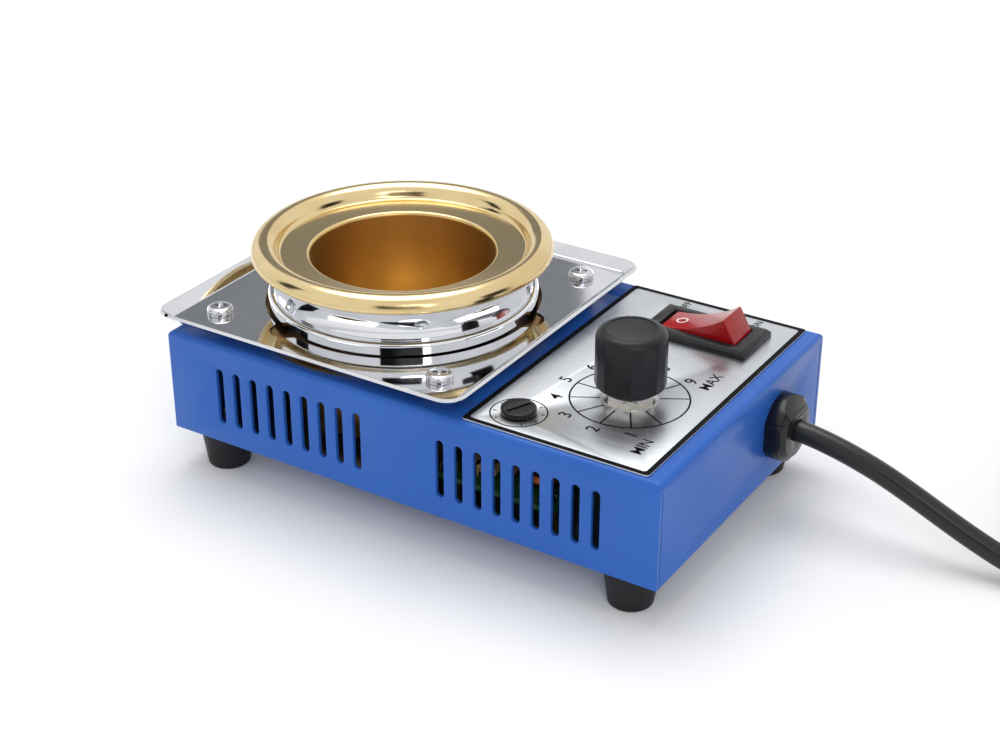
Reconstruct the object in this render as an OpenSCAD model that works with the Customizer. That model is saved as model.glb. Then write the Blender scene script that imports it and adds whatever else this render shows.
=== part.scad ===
// Bench solder pot: a heated crucible at one end of a folded steel case,
// temperature controls at the other, a mains cord out of the end wall.
// X runs along the case towards the controls, Z is up, z = 0 is the bench.

/* [Case] */
// Length of the folded cover
case_l = 160; // [158:1:190]
// Width of the cover, front to back
case_w = 99; // [98:1:116]
// Height of the cover, without the feet
case_h = 31.6; // [31:0.2:40]
// Thickness of the cover's sheet
cover_t = 1.2; // [0.8:0.1:1.5]
// Outside radius of the cover's top bends
cover_bend_r = 1.7; // [1.6:0.1:2.5]
// Width of the flanges turned in under the long walls
long_flange = 14; // [13:0.5:17]
// Width of the flanges turned in under the end walls
end_flange = 5; // [4:0.5:7]
// Width of the seams beside the folded corners
seam_w = 0.4; // [0.3:0.1:0.6]
// Thickness of the base plate
base_t = 1.5; // [1:0.1:2]
// Gap between the base plate and the end flanges
base_gap = 0.6; // [0.3:0.1:1]

/* [Vent slots] */
// Slots in each group, two groups to a long wall
slot_count = 9; // [5:1:9]
// Width of a slot
slot_w = 2.6; // [2:0.1:3.5]
// Distance between slots
slot_pitch = 6; // [5:0.1:6.4]
// Height of a slot over its round ends
slot_h = 17.7; // [12:0.1:19]
// Height of the slots' middle above the cover's bottom edge
slot_mid_z = 15.2; // [13:0.1:17]
// Distance from the case's middle to the first slot of a group
slot_first = 13.7; // [10:0.1:16]
// Slots in the base plate
base_slot_count = 9; // [5:1:9]
// Width of a base slot
base_slot_w = 5; // [4:0.5:7]
// Length of a base slot
base_slot_l = 36; // [20:1:50]
// Distance between base slots
base_slot_pitch = 12; // [9:0.5:13]

/* [Feet] */
// Height of a rubber foot
foot_h = 12.2; // [10:0.2:18]
// Radius of a foot where it meets the bench
foot_bottom_r = 6.3; // [5.6:0.1:7]
// Radius of a foot where it meets the case
foot_top_r = 7.8; // [7.2:0.1:9]
// Depth of the recess that hides a foot's screw
foot_recess = 7.6; // [6:0.2:8]
// Distance from the case's end to a foot's centre
foot_inset_x = 11.9; // [11:0.1:16]
// Distance from the case's long side to a foot's centre
foot_inset_y = 8.9; // [8.5:0.1:9.5]

/* [Deck plate] */
// Side of the square deck plate between its folds
deck_side = 96.4; // [94:0.2:97.5]
// Thickness of the deck plate
deck_t = 1; // [0.8:0.1:1.2]
// Height of the nuts that carry the deck plate
spacer_h = 2.6; // [2.5:0.1:6]
// Width of the turned-up lip
lip_w = 4.8; // [3:0.1:7]
// Angle of the lip above the plate
lip_angle = 40; // [25:1:60]
// Corner radius of the deck plate at its fold
deck_corner_r = 2.4; // [1.6:0.1:4]
// Distance between deck screws
deck_screw_pitch = 76; // [75:0.5:80]
// Clearance between the collar and the deck plate's hole
deck_hole_gap = 0.9; // [0.6:0.1:1.4]
// Radius of the three rounded notches in that hole
ear_r = 5.2; // [4:0.1:6]
// How far the notches reach past the hole
ear_reach = 3.9; // [3:0.1:4.5]

/* [Bath] */
// Distance from the case's end to the crucible's axis
pot_inset = 48.3; // [47:0.1:50]
// Inner diameter of the crucible at its floor
bath_d = 50; // [44:0.5:51]
// Radius by which the crucible widens from floor to mouth
bath_draft = 1.4; // [0.5:0.1:1.6]
// Depth of the crucible below its shoulder
bath_depth = 38; // [30:0.5:38]
// Wall of the crucible and its lip
crucible_t = 1.3; // [1:0.1:1.6]
// Radius of the shoulder between bore and dish
shoulder_r = 2; // [1.5:0.1:3]
// How far the rolled rim stands out over the collar
rim_overhang = 6.1; // [5.4:0.1:8]
// Radius of the rolled rim's section
bead_r = 3.87; // [3.2:0.1:4.2]
// Drop of the dish from the rim towards the shoulder
dish_drop = 0.9; // [0.4:0.1:1.5]
// Height of the rim's lower edge above the case
rim_h = 19; // [18:0.2:24]

/* [Heater] */
// Wall of the insulation round the heater
wool_wall = 4.3; // [3:0.1:4.4]
// Wall of the collar
collar_wall = 2.2; // [1.6:0.1:2.6]
// How far the collar's bottom flange stands out
collar_flange_w = 1.8; // [1.2:0.1:2.6]
// Height of the collar's bottom flange
collar_flange_h = 7.2; // [6:0.1:9]
// How far the collar's waist is drawn in
collar_waist = 0.7; // [0.3:0.1:1]
// Thickness of the heater shell's sheet
shell_t = 0.7; // [0.5:0.1:1]
// Width of the heater shell's mounting flange
shell_flange_w = 9.6; // [9:0.1:10]
// Thickness of the mica heater band
band_t = 2; // [1.5:0.1:2.4]
// Height of the mica heater band
band_h = 28; // [20:1:30]
// Thickness of the steel strap round the heater band
strap_t = 0.7; // [0.5:0.1:1]
// Height of the steel strap
strap_h = 14; // [10:1:20]

/* [Control panel] */
// Distance from the deck plate's fold to the panel
panel_gap = 3.1; // [1:0.1:6]
// Distance from the case's end to the panel
panel_inset = 4.5; // [3:0.1:6]
// Distance from the panel's side edge to the case's side
panel_margin = 1.7; // [1.7:0.1:4]
// Thickness of the panel
panel_t = 0.5; // [0.3:0.1:1]
// Corner radius of the panel
panel_r = 1; // [0.5:0.1:2]

/* [Temperature knob] */
// Distance from the case's end to the knob's axis
dial_inset = 27.9; // [27:0.1:30]
// Distance from the case's front side to the knob's axis
dial_inset_y = 34.7; // [32:0.1:37]
// Diameter of the knob over its flats
knob_d = 19; // [17:0.2:22]
// Height of the knob
knob_h = 18; // [14:0.2:20]
// Number of flats round the knob
knob_flats = 16; // [14:1:20]
// Radius of the knob's top edge
knob_edge_r = 2.6; // [1:0.1:3]
// Chamfer round the knob's foot
knob_foot = 2.6; // [1:0.1:3]
// Direction of the knob's pointer at rest
pointer_angle = 120; // [30:30:300]
// Diameter of the potentiometer's shaft
shaft_d = 6; // [5:0.5:6]
// Radius of the potentiometer's threaded bush
bush_r = 4.5; // [4:0.1:5]
// Width of the potentiometer's nut across its flats
pot_nut_af = 12; // [11:0.5:13]
// Radius of the potentiometer's body
pot_body_r = 8.4; // [7:0.1:9]
// Depth of the potentiometer's body
pot_body_h = 8.5; // [6:0.1:9]

/* [Rocker switch] */
// Distance from the case's end to the switch's middle
switch_inset = 28; // [26:0.1:30]
// Distance from the case's rear side to the switch's middle
switch_inset_y = 19.7; // [17.5:0.1:21.5]
// Length of the bezel
bezel_l = 33; // [32:0.1:36]
// Width of the bezel
bezel_w = 18.2; // [17:0.1:20]
// Height of the bezel above the panel
bezel_h = 2.3; // [1.5:0.1:3]
// Chamfer round the bezel's top
bezel_chamfer = 1.1; // [0.4:0.1:1.4]
// Length of the rocker
rocker_l = 24.2; // [23:0.1:26]
// Width of the rocker
rocker_w = 11; // [10:0.1:12]
// Height of the rocker's tips above its pivot
rocker_tip_h = 5; // [4:0.1:5.5]
// How far the rocker's tips lean in
rocker_lean = 1.8; // [1:0.1:2.4]
// Depth of the hollow between the tips
rocker_sag = 1.6; // [0.6:0.1:2]
// Tilt of the rocker either side of level
rocker_tilt = 19; // [8:0.5:19]
// Gap between the rocker and its housing
rocker_gap = 0.35; // [0.3:0.05:0.5]
// Wall of the switch's housing
switch_wall = 1; // [0.8:0.1:1.2]
// Depth of the housing below the panel
switch_depth = 14; // [13:0.2:15]
// Length of the spade terminals
spade_l = 6; // [4:0.2:7]

/* [Calibration trimmer] */
// Distance from the panel's edge by the crucible to the trimmer's axis
trim_inset_x = 11.5; // [10:0.1:13]
// Distance from the case's front side to the trimmer's axis
trim_inset_y = 12.1; // [10.5:0.1:14.5]
// Diameter of the trimmer's slotted disc
trim_d = 9.6; // [8:0.1:11]
// Height of the trimmer's disc
trim_h = 1.4; // [1:0.1:2]
// Direction of the disc's slot at rest
trim_slot_angle = 67; // [0:1:180]
// Side of the trimmer's square body
trim_body = 11; // [10:0.5:12]

/* [Circuit board] */
// Length of the board along the case
board_l = 38; // [36:0.5:40]
// Width of the board
board_w = 54; // [52:0.5:58]
// Thickness of the board
board_t = 1.6; // [1.2:0.1:2]
// Height of the board's standoffs
standoff_h = 6.5; // [5:0.5:7]
// Gap between the heater shell and the board
board_gap = 3; // [2:0.1:3.4]
// Gap between the board and the front wall
board_side_gap = 3.3; // [2.5:0.1:4]

/* [Cord] */
// Diameter of the mains cord
cord_d = 6.2; // [5.4:0.1:6.3]
// Distance of the cord's exit behind the case's middle
cord_y = 21; // [21:0.1:21]
// Height of the cord's exit above the bench
cord_exit_z = 27.4; // [27:0.1:28]
// Length of the strain relief outside the wall
relief_out = 6.2; // [5:0.1:8]
// Length of the strain relief inside the wall
relief_in = 7; // [5:0.1:7.5]
// Radius of the strain relief's head
relief_r = 9.6; // [9:0.1:10]
// Radius of the strain relief's waist in the wall
relief_waist_r = 7.6; // [7:0.1:8]

/* [Hidden] */
$fn = 64;
slop = 0.01;

// The lip of the deck plate overhangs the case at the pot's end, so the case
// stands off the origin by half of that overhang.
lip_reach = lip_w * cos(lip_angle);
lip_rise = lip_w * sin(lip_angle) + deck_t * cos(lip_angle);
deck_overhang = max(0, deck_side / 2 + lip_reach - pot_inset);
case_x = deck_overhang / 2;
end_x = case_x + case_l / 2;
pot_x = case_x - case_l / 2 + pot_inset;

// Heights above the bench
top_z = foot_h + case_h;
under_z = top_z - cover_t;
floor_z = foot_h + cover_t + base_t;
panel_z = top_z + panel_t;
ring_z = top_z + shell_t;
deck_z = top_z + spacer_h;
deck_top_z = deck_z + deck_t;
rim_z = top_z + rim_h;
dish_z = rim_z - dish_drop;
bath_floor_z = dish_z - bath_depth;
board_z = floor_z + standoff_h;
board_top_z = board_z + board_t;

// Radii from the bath outwards: crucible, heater band, strap, insulation, collar, shell
bath_r = bath_d / 2;
mouth_r = bath_r + bath_draft;
crucible_r = mouth_r + crucible_t;
band_r = crucible_r + 0.3;
strap_r = band_r + band_t + 0.2;
wool_r = strap_r + strap_t + 0.2;
wool_out_r = wool_r + wool_wall;
collar_bore_r = wool_out_r + 0.2;
collar_r = collar_bore_r + collar_wall;
collar_flange_r = collar_r + collar_flange_w;
rim_r = collar_r + rim_overhang;
shell_r = wool_out_r + 0.7 + shell_t;
shell_flange_r = shell_r + shell_flange_w;

// Fits
hole_gap = 0.2;
seat_gap = 0.3;
thread_gap = 0.05;
running_gap = 0.05;

// Fasteners
m4_r = 2;
m4_head_r = 3.8;
m4_head_h = 2.4;
m4_nut_af = 7;
m4_nut_h = 3.2;
m3_r = 1.5;
m3_head_r = 2.75;
m3_head_h = 1.8;

foot_x = [case_x - case_l / 2 + foot_inset_x, end_x - foot_inset_x];
foot_y = case_w / 2 - foot_inset_y;

// ---- shared shapes ----

function arc(centre, r, from, to, steps) = [
  for (i = [0:steps]) let (a = from + (to - from) * i / steps)
    [centre[0] + r * cos(a), centre[1] + r * sin(a)]
];

module ring(r_out, r_in, h) {
  difference() {
    cylinder(h = h, r = r_out);
    translate([0, 0, -1]) cylinder(h = h + 2, r = r_in);
  }
}

module hex_prism(across_flats, h) {
  cylinder(h = h, r = across_flats / 2 / cos(30), $fn = 6);
}

module hex_nut(across_flats, bore_r, h) {
  difference() {
    hex_prism(across_flats, h);
    translate([0, 0, -1]) cylinder(h = h + 2, r = bore_r);
  }
}

module rounded_rect(l, w, r) {
  square([l - 2 * r, w], center = true);
  square([l, w - 2 * r], center = true);
  for (x = [-1, 1], y = [-1, 1])
    translate([x * (l / 2 - r), y * (w / 2 - r)]) circle(r);
}

// A screw pointing down, its head's underside at z = 0
module pan_screw(shank_r, head_r, head_h, shank_l) {
  difference() {
    rotate_extrude() polygon(concat(
      [[0, -shank_l], [shank_r, -shank_l], [shank_r, 0], [head_r, 0]],
      arc([head_r - head_h * 0.75, head_h * 0.25], head_h * 0.75, 0, 90, 6),
      [[0, head_h]]
    ));
    for (a = [45, 135])
      rotate(a) translate([-head_r * 0.6, -0.35, head_h - 1]) cube([head_r * 1.2, 0.7, 2]);
  }
}

module at_feet() {
  for (x = foot_x, y = [-foot_y, foot_y]) translate([x, y, 0]) children();
}

module at_deck_screws() {
  for (x = [-1, 1], y = [-1, 1])
    translate([pot_x + x * deck_screw_pitch / 2, y * deck_screw_pitch / 2, 0]) children();
}

// ---- folded case ----

// Cross-section with its two top corners bent to radius r
module bent_section(w, h, r) {
  translate([-w / 2, 0]) square([w, h - r]);
  translate([-w / 2 + r, 0]) square([w - 2 * r, h]);
  for (side = [-1, 1]) translate([side * (w / 2 - r), h - r]) circle(r);
}

// The cover's outline as a block, drawn in by inset on every side but the bottom
module cover_block(inset) {
  l = case_l - 2 * inset;
  w = case_w - 2 * inset;
  h = case_h - inset;
  r = cover_bend_r - inset;
  intersection() {
    translate([0, w / 2, 0]) rotate([90, 0, 0]) linear_extrude(w) bent_section(l, h, r);
    translate([-l / 2, 0, 0]) rotate([90, 0, 90]) linear_extrude(l) bent_section(w, h, r);
  }
}

module slot_prism() {
  rotate([90, 0, 0]) translate([0, 0, -case_w / 2 - 1]) linear_extrude(case_w + 2) {
    translate([-slot_w / 2, -slot_h / 2 + slot_w / 2]) square([slot_w, slot_h - slot_w]);
    for (end = [-1, 1]) translate([0, end * (slot_h - slot_w) / 2]) circle(slot_w / 2);
  }
}

panel_l = case_l - pot_inset - deck_side / 2 - panel_gap - panel_inset;
switch_x = end_x - switch_inset;
switch_y = case_w / 2 - switch_inset_y;
dial_x = end_x - dial_inset;
dial_y = case_w / 2 - dial_inset_y;
trim_x = end_x - panel_inset - panel_l + trim_inset_x;
trim_y = case_w / 2 - trim_inset_y;
rocker_open_l = rocker_l + 2 * rocker_gap;
rocker_open_w = rocker_w + 2 * rocker_gap;
housing_l = rocker_open_l + 2 * switch_wall;
housing_w = rocker_open_w + 2 * switch_wall;
trim_stem_r = 2;

// The holes that the controls pass through, cut from h below z = 0 to h above it
module control_holes(h) {
  translate([dial_x, -dial_y, -h]) cylinder(h = 2 * h, r = bush_r + hole_gap);
  translate([trim_x, -trim_y, -h]) cylinder(h = 2 * h, r = trim_stem_r + seat_gap);
  translate([switch_x, switch_y, 0])
    cube([housing_l + 2 * hole_gap, housing_w + 2 * hole_gap, 2 * h], center = true);
}

module case_cover() {
  flange_x = case_l / 2 - end_flange;
  flange_y = case_w / 2 - long_flange;
  color([0.17, 0.36, 0.7]) difference() {
    translate([case_x, 0, foot_h]) difference() {
      cover_block(0);
      intersection() {
        cover_block(cover_t);
        translate([-case_l, -case_w, cover_t]) cube([2 * case_l, 2 * case_w, case_h]);
      }
      translate([-flange_x, -flange_y, -1]) cube([2 * flange_x, 2 * flange_y, cover_t + 2]);
      // the slits that part the long flanges from the end flanges
      for (x = [-1, 1], y = [-1, 1])
        translate([x * (flange_x - base_gap), y * (flange_y + case_w / 2 - cover_t) / 2, 0])
          cube([2 * base_gap, case_w / 2 - cover_t - flange_y + slop, 3 * cover_t], center = true);
      // the seams between the end walls and the long walls
      for (x = [-1, 1], y = [-1, 1])
        translate([x * case_l / 2, y * (case_w / 2 - cover_t - seam_w / 2), case_h / 2 - 1])
          cube([3 * cover_t, seam_w, case_h - 2 * cover_bend_r], center = true);
      for (side = [-1, 1], i = [0:slot_count - 1])
        translate([side * (slot_first + i * slot_pitch), 0, slot_mid_z]) slot_prism();
    }
    translate([0, 0, top_z]) control_holes(3);
    translate([pot_x, 0, top_z - 4]) cylinder(h = 8, r = shell_r + hole_gap * 3);
    at_deck_screws() translate([0, 0, top_z - 4]) cylinder(h = 8, r = m4_r + hole_gap);
    at_feet() translate([0, 0, foot_h - 1]) cylinder(h = cover_t + 2, r = m4_r + hole_gap);
    at_rivets() translate([0, 0, top_z - 4]) cylinder(h = 8, r = rivet_r + hole_gap);
    translate([end_x - 4, cord_y, cord_exit_z])
      rotate([0, 90, 0]) cylinder(h = 8, r = relief_waist_r + hole_gap);
  }
}

module base_plate() {
  l = case_l - 2 * (end_flange + base_gap);
  w = case_w - 2 * cover_t - 2 * hole_gap;
  color([0.72, 0.73, 0.75]) difference() {
    translate([case_x - l / 2, -w / 2, foot_h + cover_t]) cube([l, w, base_t]);
    at_feet() translate([0, 0, foot_h]) cylinder(h = 6, r = m4_r + hole_gap);
    for (i = [0:base_slot_count - 1])
      translate([case_x - 7.5 + (i - (base_slot_count - 1) / 2) * base_slot_pitch, 0, foot_h])
        linear_extrude(6) rounded_rect(base_slot_w, base_slot_l, base_slot_w / 2 - slop);
  }
}

// ---- feet ----

module rubber_foot() {
  edge_r = 1;
  color([0.1, 0.1, 0.11]) difference() {
    rotate_extrude() polygon(concat(
      [[0, 0]],
      arc([foot_bottom_r - edge_r, edge_r], edge_r, -90, 0, 6),
      [[foot_top_r, foot_h], [0, foot_h]]
    ));
    translate([0, 0, -1]) cylinder(h = foot_recess + 1, r = m4_head_r + hole_gap * 2);
    translate([0, 0, -1]) cylinder(h = foot_h + 2, r = m4_r + hole_gap);
  }
}

module foot_front_left() { translate([foot_x[0], -foot_y, 0]) rubber_foot(); }
module foot_front_right() { translate([foot_x[1], -foot_y, 0]) rubber_foot(); }
module foot_rear_left() { translate([foot_x[0], foot_y, 0]) rubber_foot(); }
module foot_rear_right() { translate([foot_x[1], foot_y, 0]) rubber_foot(); }

module foot_screws() {
  shank_l = floor_z + m4_nut_h - foot_recess + 0.8;
  color([0.75, 0.75, 0.77]) at_feet() translate([0, 0, foot_recess])
    rotate([180, 0, 0]) pan_screw(m4_r, m4_head_r, m4_head_h, shank_l);
}

module foot_nuts() {
  color([0.75, 0.75, 0.77]) at_feet() translate([0, 0, floor_z])
    hex_nut(m4_nut_af, m4_r + thread_gap, m4_nut_h);
}

// ---- deck plate and its fixings ----

deck_hole_r = collar_flange_r + deck_hole_gap;
ear_angles = [-112, 8, 128];

// Section of the turned-up lip; x = 0 is the fold, the plate lies on its left
module lip_section() {
  c = cos(lip_angle);
  s = sin(lip_angle);
  polygon([
    [-1.4, 0], [0, 0], [lip_w * c, lip_w * s],
    [lip_w * c - deck_t * s, lip_w * s + deck_t * c],
    [-deck_t * tan(lip_angle / 2), deck_t], [-1.4, deck_t]
  ]);
}

module deck_plate() {
  fold = deck_side / 2;
  run = deck_side - 2 * deck_corner_r;
  color([0.8, 0.81, 0.82]) translate([pot_x, 0, deck_z]) difference() {
    union() {
      linear_extrude(deck_t) rounded_rect(deck_side - 0.6, deck_side - 0.6, deck_corner_r);
      for (a = [0:90:270]) rotate(a) {
        translate([fold, run / 2, 0]) rotate([90, 0, 0]) linear_extrude(run) lip_section();
        translate([fold - deck_corner_r, fold - deck_corner_r, 0])
          rotate_extrude(angle = 90) translate([deck_corner_r, 0]) lip_section();
      }
    }
    translate([0, 0, -1]) cylinder(h = deck_t + 2, r = deck_hole_r);
    for (a = ear_angles)
      rotate(a) translate([deck_hole_r + ear_reach - ear_r, 0, -1]) cylinder(h = deck_t + 2, r = ear_r);
    for (x = [-1, 1], y = [-1, 1])
      translate([x * deck_screw_pitch / 2, y * deck_screw_pitch / 2, -1])
        cylinder(h = deck_t + 2, r = m4_r + hole_gap);
  }
}

module deck_screws() {
  shank_l = deck_t + spacer_h + cover_t + m4_nut_h + 1;
  color([0.8, 0.8, 0.82]) at_deck_screws() translate([0, 0, deck_top_z])
    rotate(20) pan_screw(m4_r, m4_head_r, m4_head_h, shank_l);
}

module deck_spacers() {
  color([0.75, 0.75, 0.77]) at_deck_screws() translate([0, 0, top_z])
    hex_nut(m4_nut_af, m4_r + thread_gap, spacer_h);
}

module deck_nuts() {
  color([0.75, 0.75, 0.77]) at_deck_screws() translate([0, 0, under_z - m4_nut_h])
    hex_nut(m4_nut_af, m4_r + thread_gap, m4_nut_h);
}

// ---- crucible and heater ----

heater_gap_angle = 24;

// A turned ring of chromed steel: a flange, a groove and a drawn-in waist
module heater_collar() {
  h = dish_z - crucible_t - ring_z;
  waist_h = h - collar_flange_h;
  waist_r = (waist_h * waist_h / 4 + collar_waist * collar_waist) / (2 * collar_waist);
  groove = 0.5;
  edge_r = 1.2;
  color([0.82, 0.83, 0.85]) translate([pot_x, 0, ring_z]) rotate_extrude() difference() {
    polygon(concat(
      [[collar_bore_r, 0], [collar_flange_r, 0]],
      arc([collar_flange_r - edge_r, collar_flange_h - groove - edge_r], edge_r, 0, 90, 6),
      [
        [collar_r - 0.4, collar_flange_h - groove], [collar_r - 0.4, collar_flange_h],
        [collar_r, collar_flange_h], [collar_r, h], [collar_bore_r, h]
      ]
    ));
    translate([collar_r - collar_waist + waist_r, collar_flange_h + waist_h / 2]) circle(waist_r, $fn = 128);
  }
}

module crucible() {
  bead_x = rim_r - bead_r;
  inner_bead = bead_r - crucible_t;
  shoulder_x = mouth_r + shoulder_r;
  foot_r = 6;
  floor_t = 2;
  under = dish_z - crucible_t;
  color([0.85, 0.68, 0.38]) translate([pot_x, 0, 0]) rotate_extrude() polygon(concat(
    [[0, bath_floor_z - floor_t]],
    arc([crucible_r - foot_r, bath_floor_z - floor_t + foot_r], foot_r, -90, 0, 6),
    [[crucible_r, under], [bead_x - bead_r, under]],
    arc([bead_x, rim_z], inner_bead, 180, 0, 12),
    arc([bead_x, rim_z], bead_r, 0, 180, 16),
    arc([shoulder_x, dish_z - shoulder_r], shoulder_r, 90, 180, 6),
    arc([bath_r - foot_r, bath_floor_z + foot_r], foot_r, 0, -90, 6),
    [[0, bath_floor_z]]
  ));
}

heater_mid_z = (bath_floor_z + dish_z) / 2 - 3;

// A ring with a gap for its clamp, facing the controls
module split_ring(r_in, t, h) {
  translate([pot_x, 0, heater_mid_z - h / 2]) difference() {
    ring(r_in + t, r_in, h);
    translate([0, 0, -1]) linear_extrude(h + 2) polygon([
      [0, 0],
      [r_in * 2, -r_in * 2 * tan(heater_gap_angle / 2)],
      [r_in * 2, r_in * 2 * tan(heater_gap_angle / 2)]
    ]);
  }
}

module heater_band() {
  color([0.72, 0.66, 0.5]) split_ring(band_r, band_t, band_h);
}

lug_h = 8;
lug_l = 5;
lug_hole_x = lug_l / 2 + 0.4;
lug_x = strap_r * cos(heater_gap_angle / 2);
lug_y = strap_r * sin(heater_gap_angle / 2);

module heater_strap() {
  color([0.7, 0.71, 0.73]) difference() {
    union() {
      split_ring(strap_r, strap_t, strap_h);
      for (side = [-1, 1])
        translate([pot_x + lug_x - 0.2, side * lug_y - strap_t / 2, heater_mid_z - lug_h / 2])
          cube([lug_l, strap_t, lug_h]);
    }
    translate([pot_x + lug_x + lug_hole_x, 0, heater_mid_z])
      rotate([90, 0, 0]) cylinder(h = 4 * lug_y, r = m3_r - 0.4, center = true);
  }
}

module strap_screw() {
  screw_r = 1;
  head_y = lug_y + strap_t / 2;
  color([0.75, 0.75, 0.77]) translate([pot_x + lug_x + lug_hole_x, -head_y, heater_mid_z])
    rotate([90, 0, 0]) pan_screw(screw_r, 1.8, 1.3, 2 * head_y + 1.5);
}

module insulation() {
  wool_t = 1.6;
  bottom_z = bath_floor_z - 2 - seat_gap - wool_t;
  top = heater_mid_z + band_h / 2;
  // the wall of the wool stops short of the lugs of the strap
  color([0.9, 0.89, 0.85]) translate([pot_x, 0, bottom_z]) difference() {
    cylinder(h = top - bottom_z, r = wool_out_r);
    translate([0, 0, wool_t]) cylinder(h = top, r = wool_r);
    translate([0, -lug_y - 3, wool_t]) cube([shell_r, 2 * lug_y + 6, top]);
  }
}

wool_bottom_z = bath_floor_z - 2 - seat_gap - 1.6;

module heater_shell() {
  bottom_z = wool_bottom_z - 0.2 - shell_t;
  color([0.6, 0.5, 0.3]) difference() {
    translate([pot_x, 0, 0]) rotate_extrude() polygon([
      [0, bottom_z], [shell_r, bottom_z], [shell_r, top_z], [shell_flange_r, top_z],
      [shell_flange_r, ring_z], [shell_r - shell_t, ring_z],
      [shell_r - shell_t, bottom_z + shell_t], [0, bottom_z + shell_t]
    ]);
    at_rivets() translate([0, 0, top_z - 1]) cylinder(h = 4, r = rivet_r + hole_gap);
    // the hole that the heater's leads leave by
    translate([pot_x + shell_r, lead_y, lead_z]) rotate([0, 90, 0])
      cylinder(h = 6, r = lead_hole_r, center = true);
  }
}

rivet_r = 1.6;
rivet_pitch_r = (shell_r + shell_flange_r) / 2 + 1.4;

module at_rivets() {
  for (a = [0:120:240])
    translate([pot_x, 0, 0]) rotate(a - 52) translate([rivet_pitch_r, 0, 0]) children();
}

module shell_rivets() {
  head_h = 0.9;
  color([0.75, 0.75, 0.77]) at_rivets() {
    translate([0, 0, under_z - 1.2]) cylinder(h = 1.2, r = rivet_r + 0.7);
    translate([0, 0, under_z - 1.2]) cylinder(h = ring_z - under_z + 1.2 + head_h, r = rivet_r);
    translate([0, 0, ring_z]) cylinder(h = head_h, r = rivet_r + 1.2);
  }
}

// ---- control panel ----

module control_panel() {
  w = case_w - 2 * panel_margin;
  color([0.78, 0.79, 0.8]) difference() {
    translate([end_x - panel_inset - panel_l / 2, 0, top_z])
      linear_extrude(panel_t) rounded_rect(panel_l, w, panel_r);
    translate([0, 0, top_z]) control_holes(3);
  }
}

// ---- temperature control ----

washer_t = 0.5;
pot_nut_h = 2;
bush_top_z = panel_z + washer_t + pot_nut_h + 0.4;
knob_z = panel_z + washer_t + pot_nut_h + seat_gap;
knob_hole_depth = 12;
shaft_r = shaft_d / 2;

// Sixteen flats cut from a turned blank with a round top edge and a tapered foot
module control_knob() {
  flat_r = knob_d / 2;
  corner_r = flat_r / cos(180 / knob_flats);
  recess_r = pot_nut_af / 2 / cos(30) + 0.4;
  color([0.1, 0.11, 0.12]) translate([dial_x, -dial_y, knob_z]) difference() {
    intersection() {
      rotate(90 / knob_flats) linear_extrude(knob_h)
        polygon([for (i = [0:knob_flats - 1]) corner_r * [cos(i * 360 / knob_flats), sin(i * 360 / knob_flats)]]);
      rotate_extrude($fn = 96) polygon(concat(
        [[0, 0], [corner_r - knob_foot, 0], [corner_r + slop, knob_foot * 0.8]],
        arc([corner_r + slop - knob_edge_r, knob_h - knob_edge_r], knob_edge_r, 0, 90, 8),
        [[corner_r * 0.72, knob_h], [corner_r * 0.7, knob_h - 0.3], [0, knob_h - 0.3]]
      ));
    }
    translate([0, 0, -1]) cylinder(h = 1.6, r = bush_r + 0.5);
    translate([0, 0, -1]) cylinder(h = knob_hole_depth + 1, r = shaft_r + thread_gap);
    // the groove that takes the pointer's paint
    rotate(pointer_angle) translate([corner_r * 0.75, -0.5, knob_h - 0.6]) cube([corner_r, 1, 2]);
    rotate(pointer_angle) translate([flat_r - 0.4, -0.5, knob_h / 2]) cube([4, 1, knob_h]);
  }
}

pot_body_z = under_z - pot_body_h;
shaft_bottom_z = pot_body_z + 2;

module potentiometer_shaft() {
  top = knob_z + knob_hole_depth - seat_gap;
  color([0.75, 0.76, 0.78]) translate([dial_x, -dial_y, shaft_bottom_z]) {
    cylinder(h = top - shaft_bottom_z, r = shaft_r);
    cylinder(h = 1.5, r = pot_body_r - 2.5);
  }
}

module potentiometer_body() {
  wafer_l = 16;
  wafer_w = 14;
  wafer_t = 1.6;
  leg_l = 5;
  leg_w = 1.6;
  color([0.55, 0.56, 0.58]) translate([dial_x, -dial_y, pot_body_z]) difference() {
    union() {
      cylinder(h = pot_body_h, r = pot_body_r);
      cylinder(h = bush_top_z - pot_body_z, r = bush_r);
      translate([0, -wafer_l / 2, 2]) cube([wafer_w, wafer_l, wafer_t]);
      for (i = [-1:1]) translate([wafer_w - slop, i * wafer_l / 3.2 - leg_w / 2, 2 + wafer_t / 3])
        cube([leg_l, leg_w, wafer_t / 3]);
    }
    translate([0, 0, 2]) cylinder(h = pot_body_h * 4, r = shaft_r + running_gap);
    translate([0, 0, 2 - running_gap * 2]) cylinder(h = 1.5 + running_gap * 4, r = pot_body_r - 2.5 + running_gap);
  }
}

module potentiometer_washer() {
  color([0.75, 0.76, 0.78]) translate([dial_x, -dial_y, panel_z])
    ring(pot_nut_af / 2 / cos(30) + 0.6, bush_r + hole_gap, washer_t);
}

module potentiometer_nut() {
  color([0.75, 0.76, 0.78]) translate([dial_x, -dial_y, panel_z + washer_t])
    hex_nut(pot_nut_af, bush_r + thread_gap, pot_nut_h);
}

// ---- rocker switch ----

pivot_z = panel_z + bezel_h - 1.6;
pivot_r = 1.3;

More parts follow.
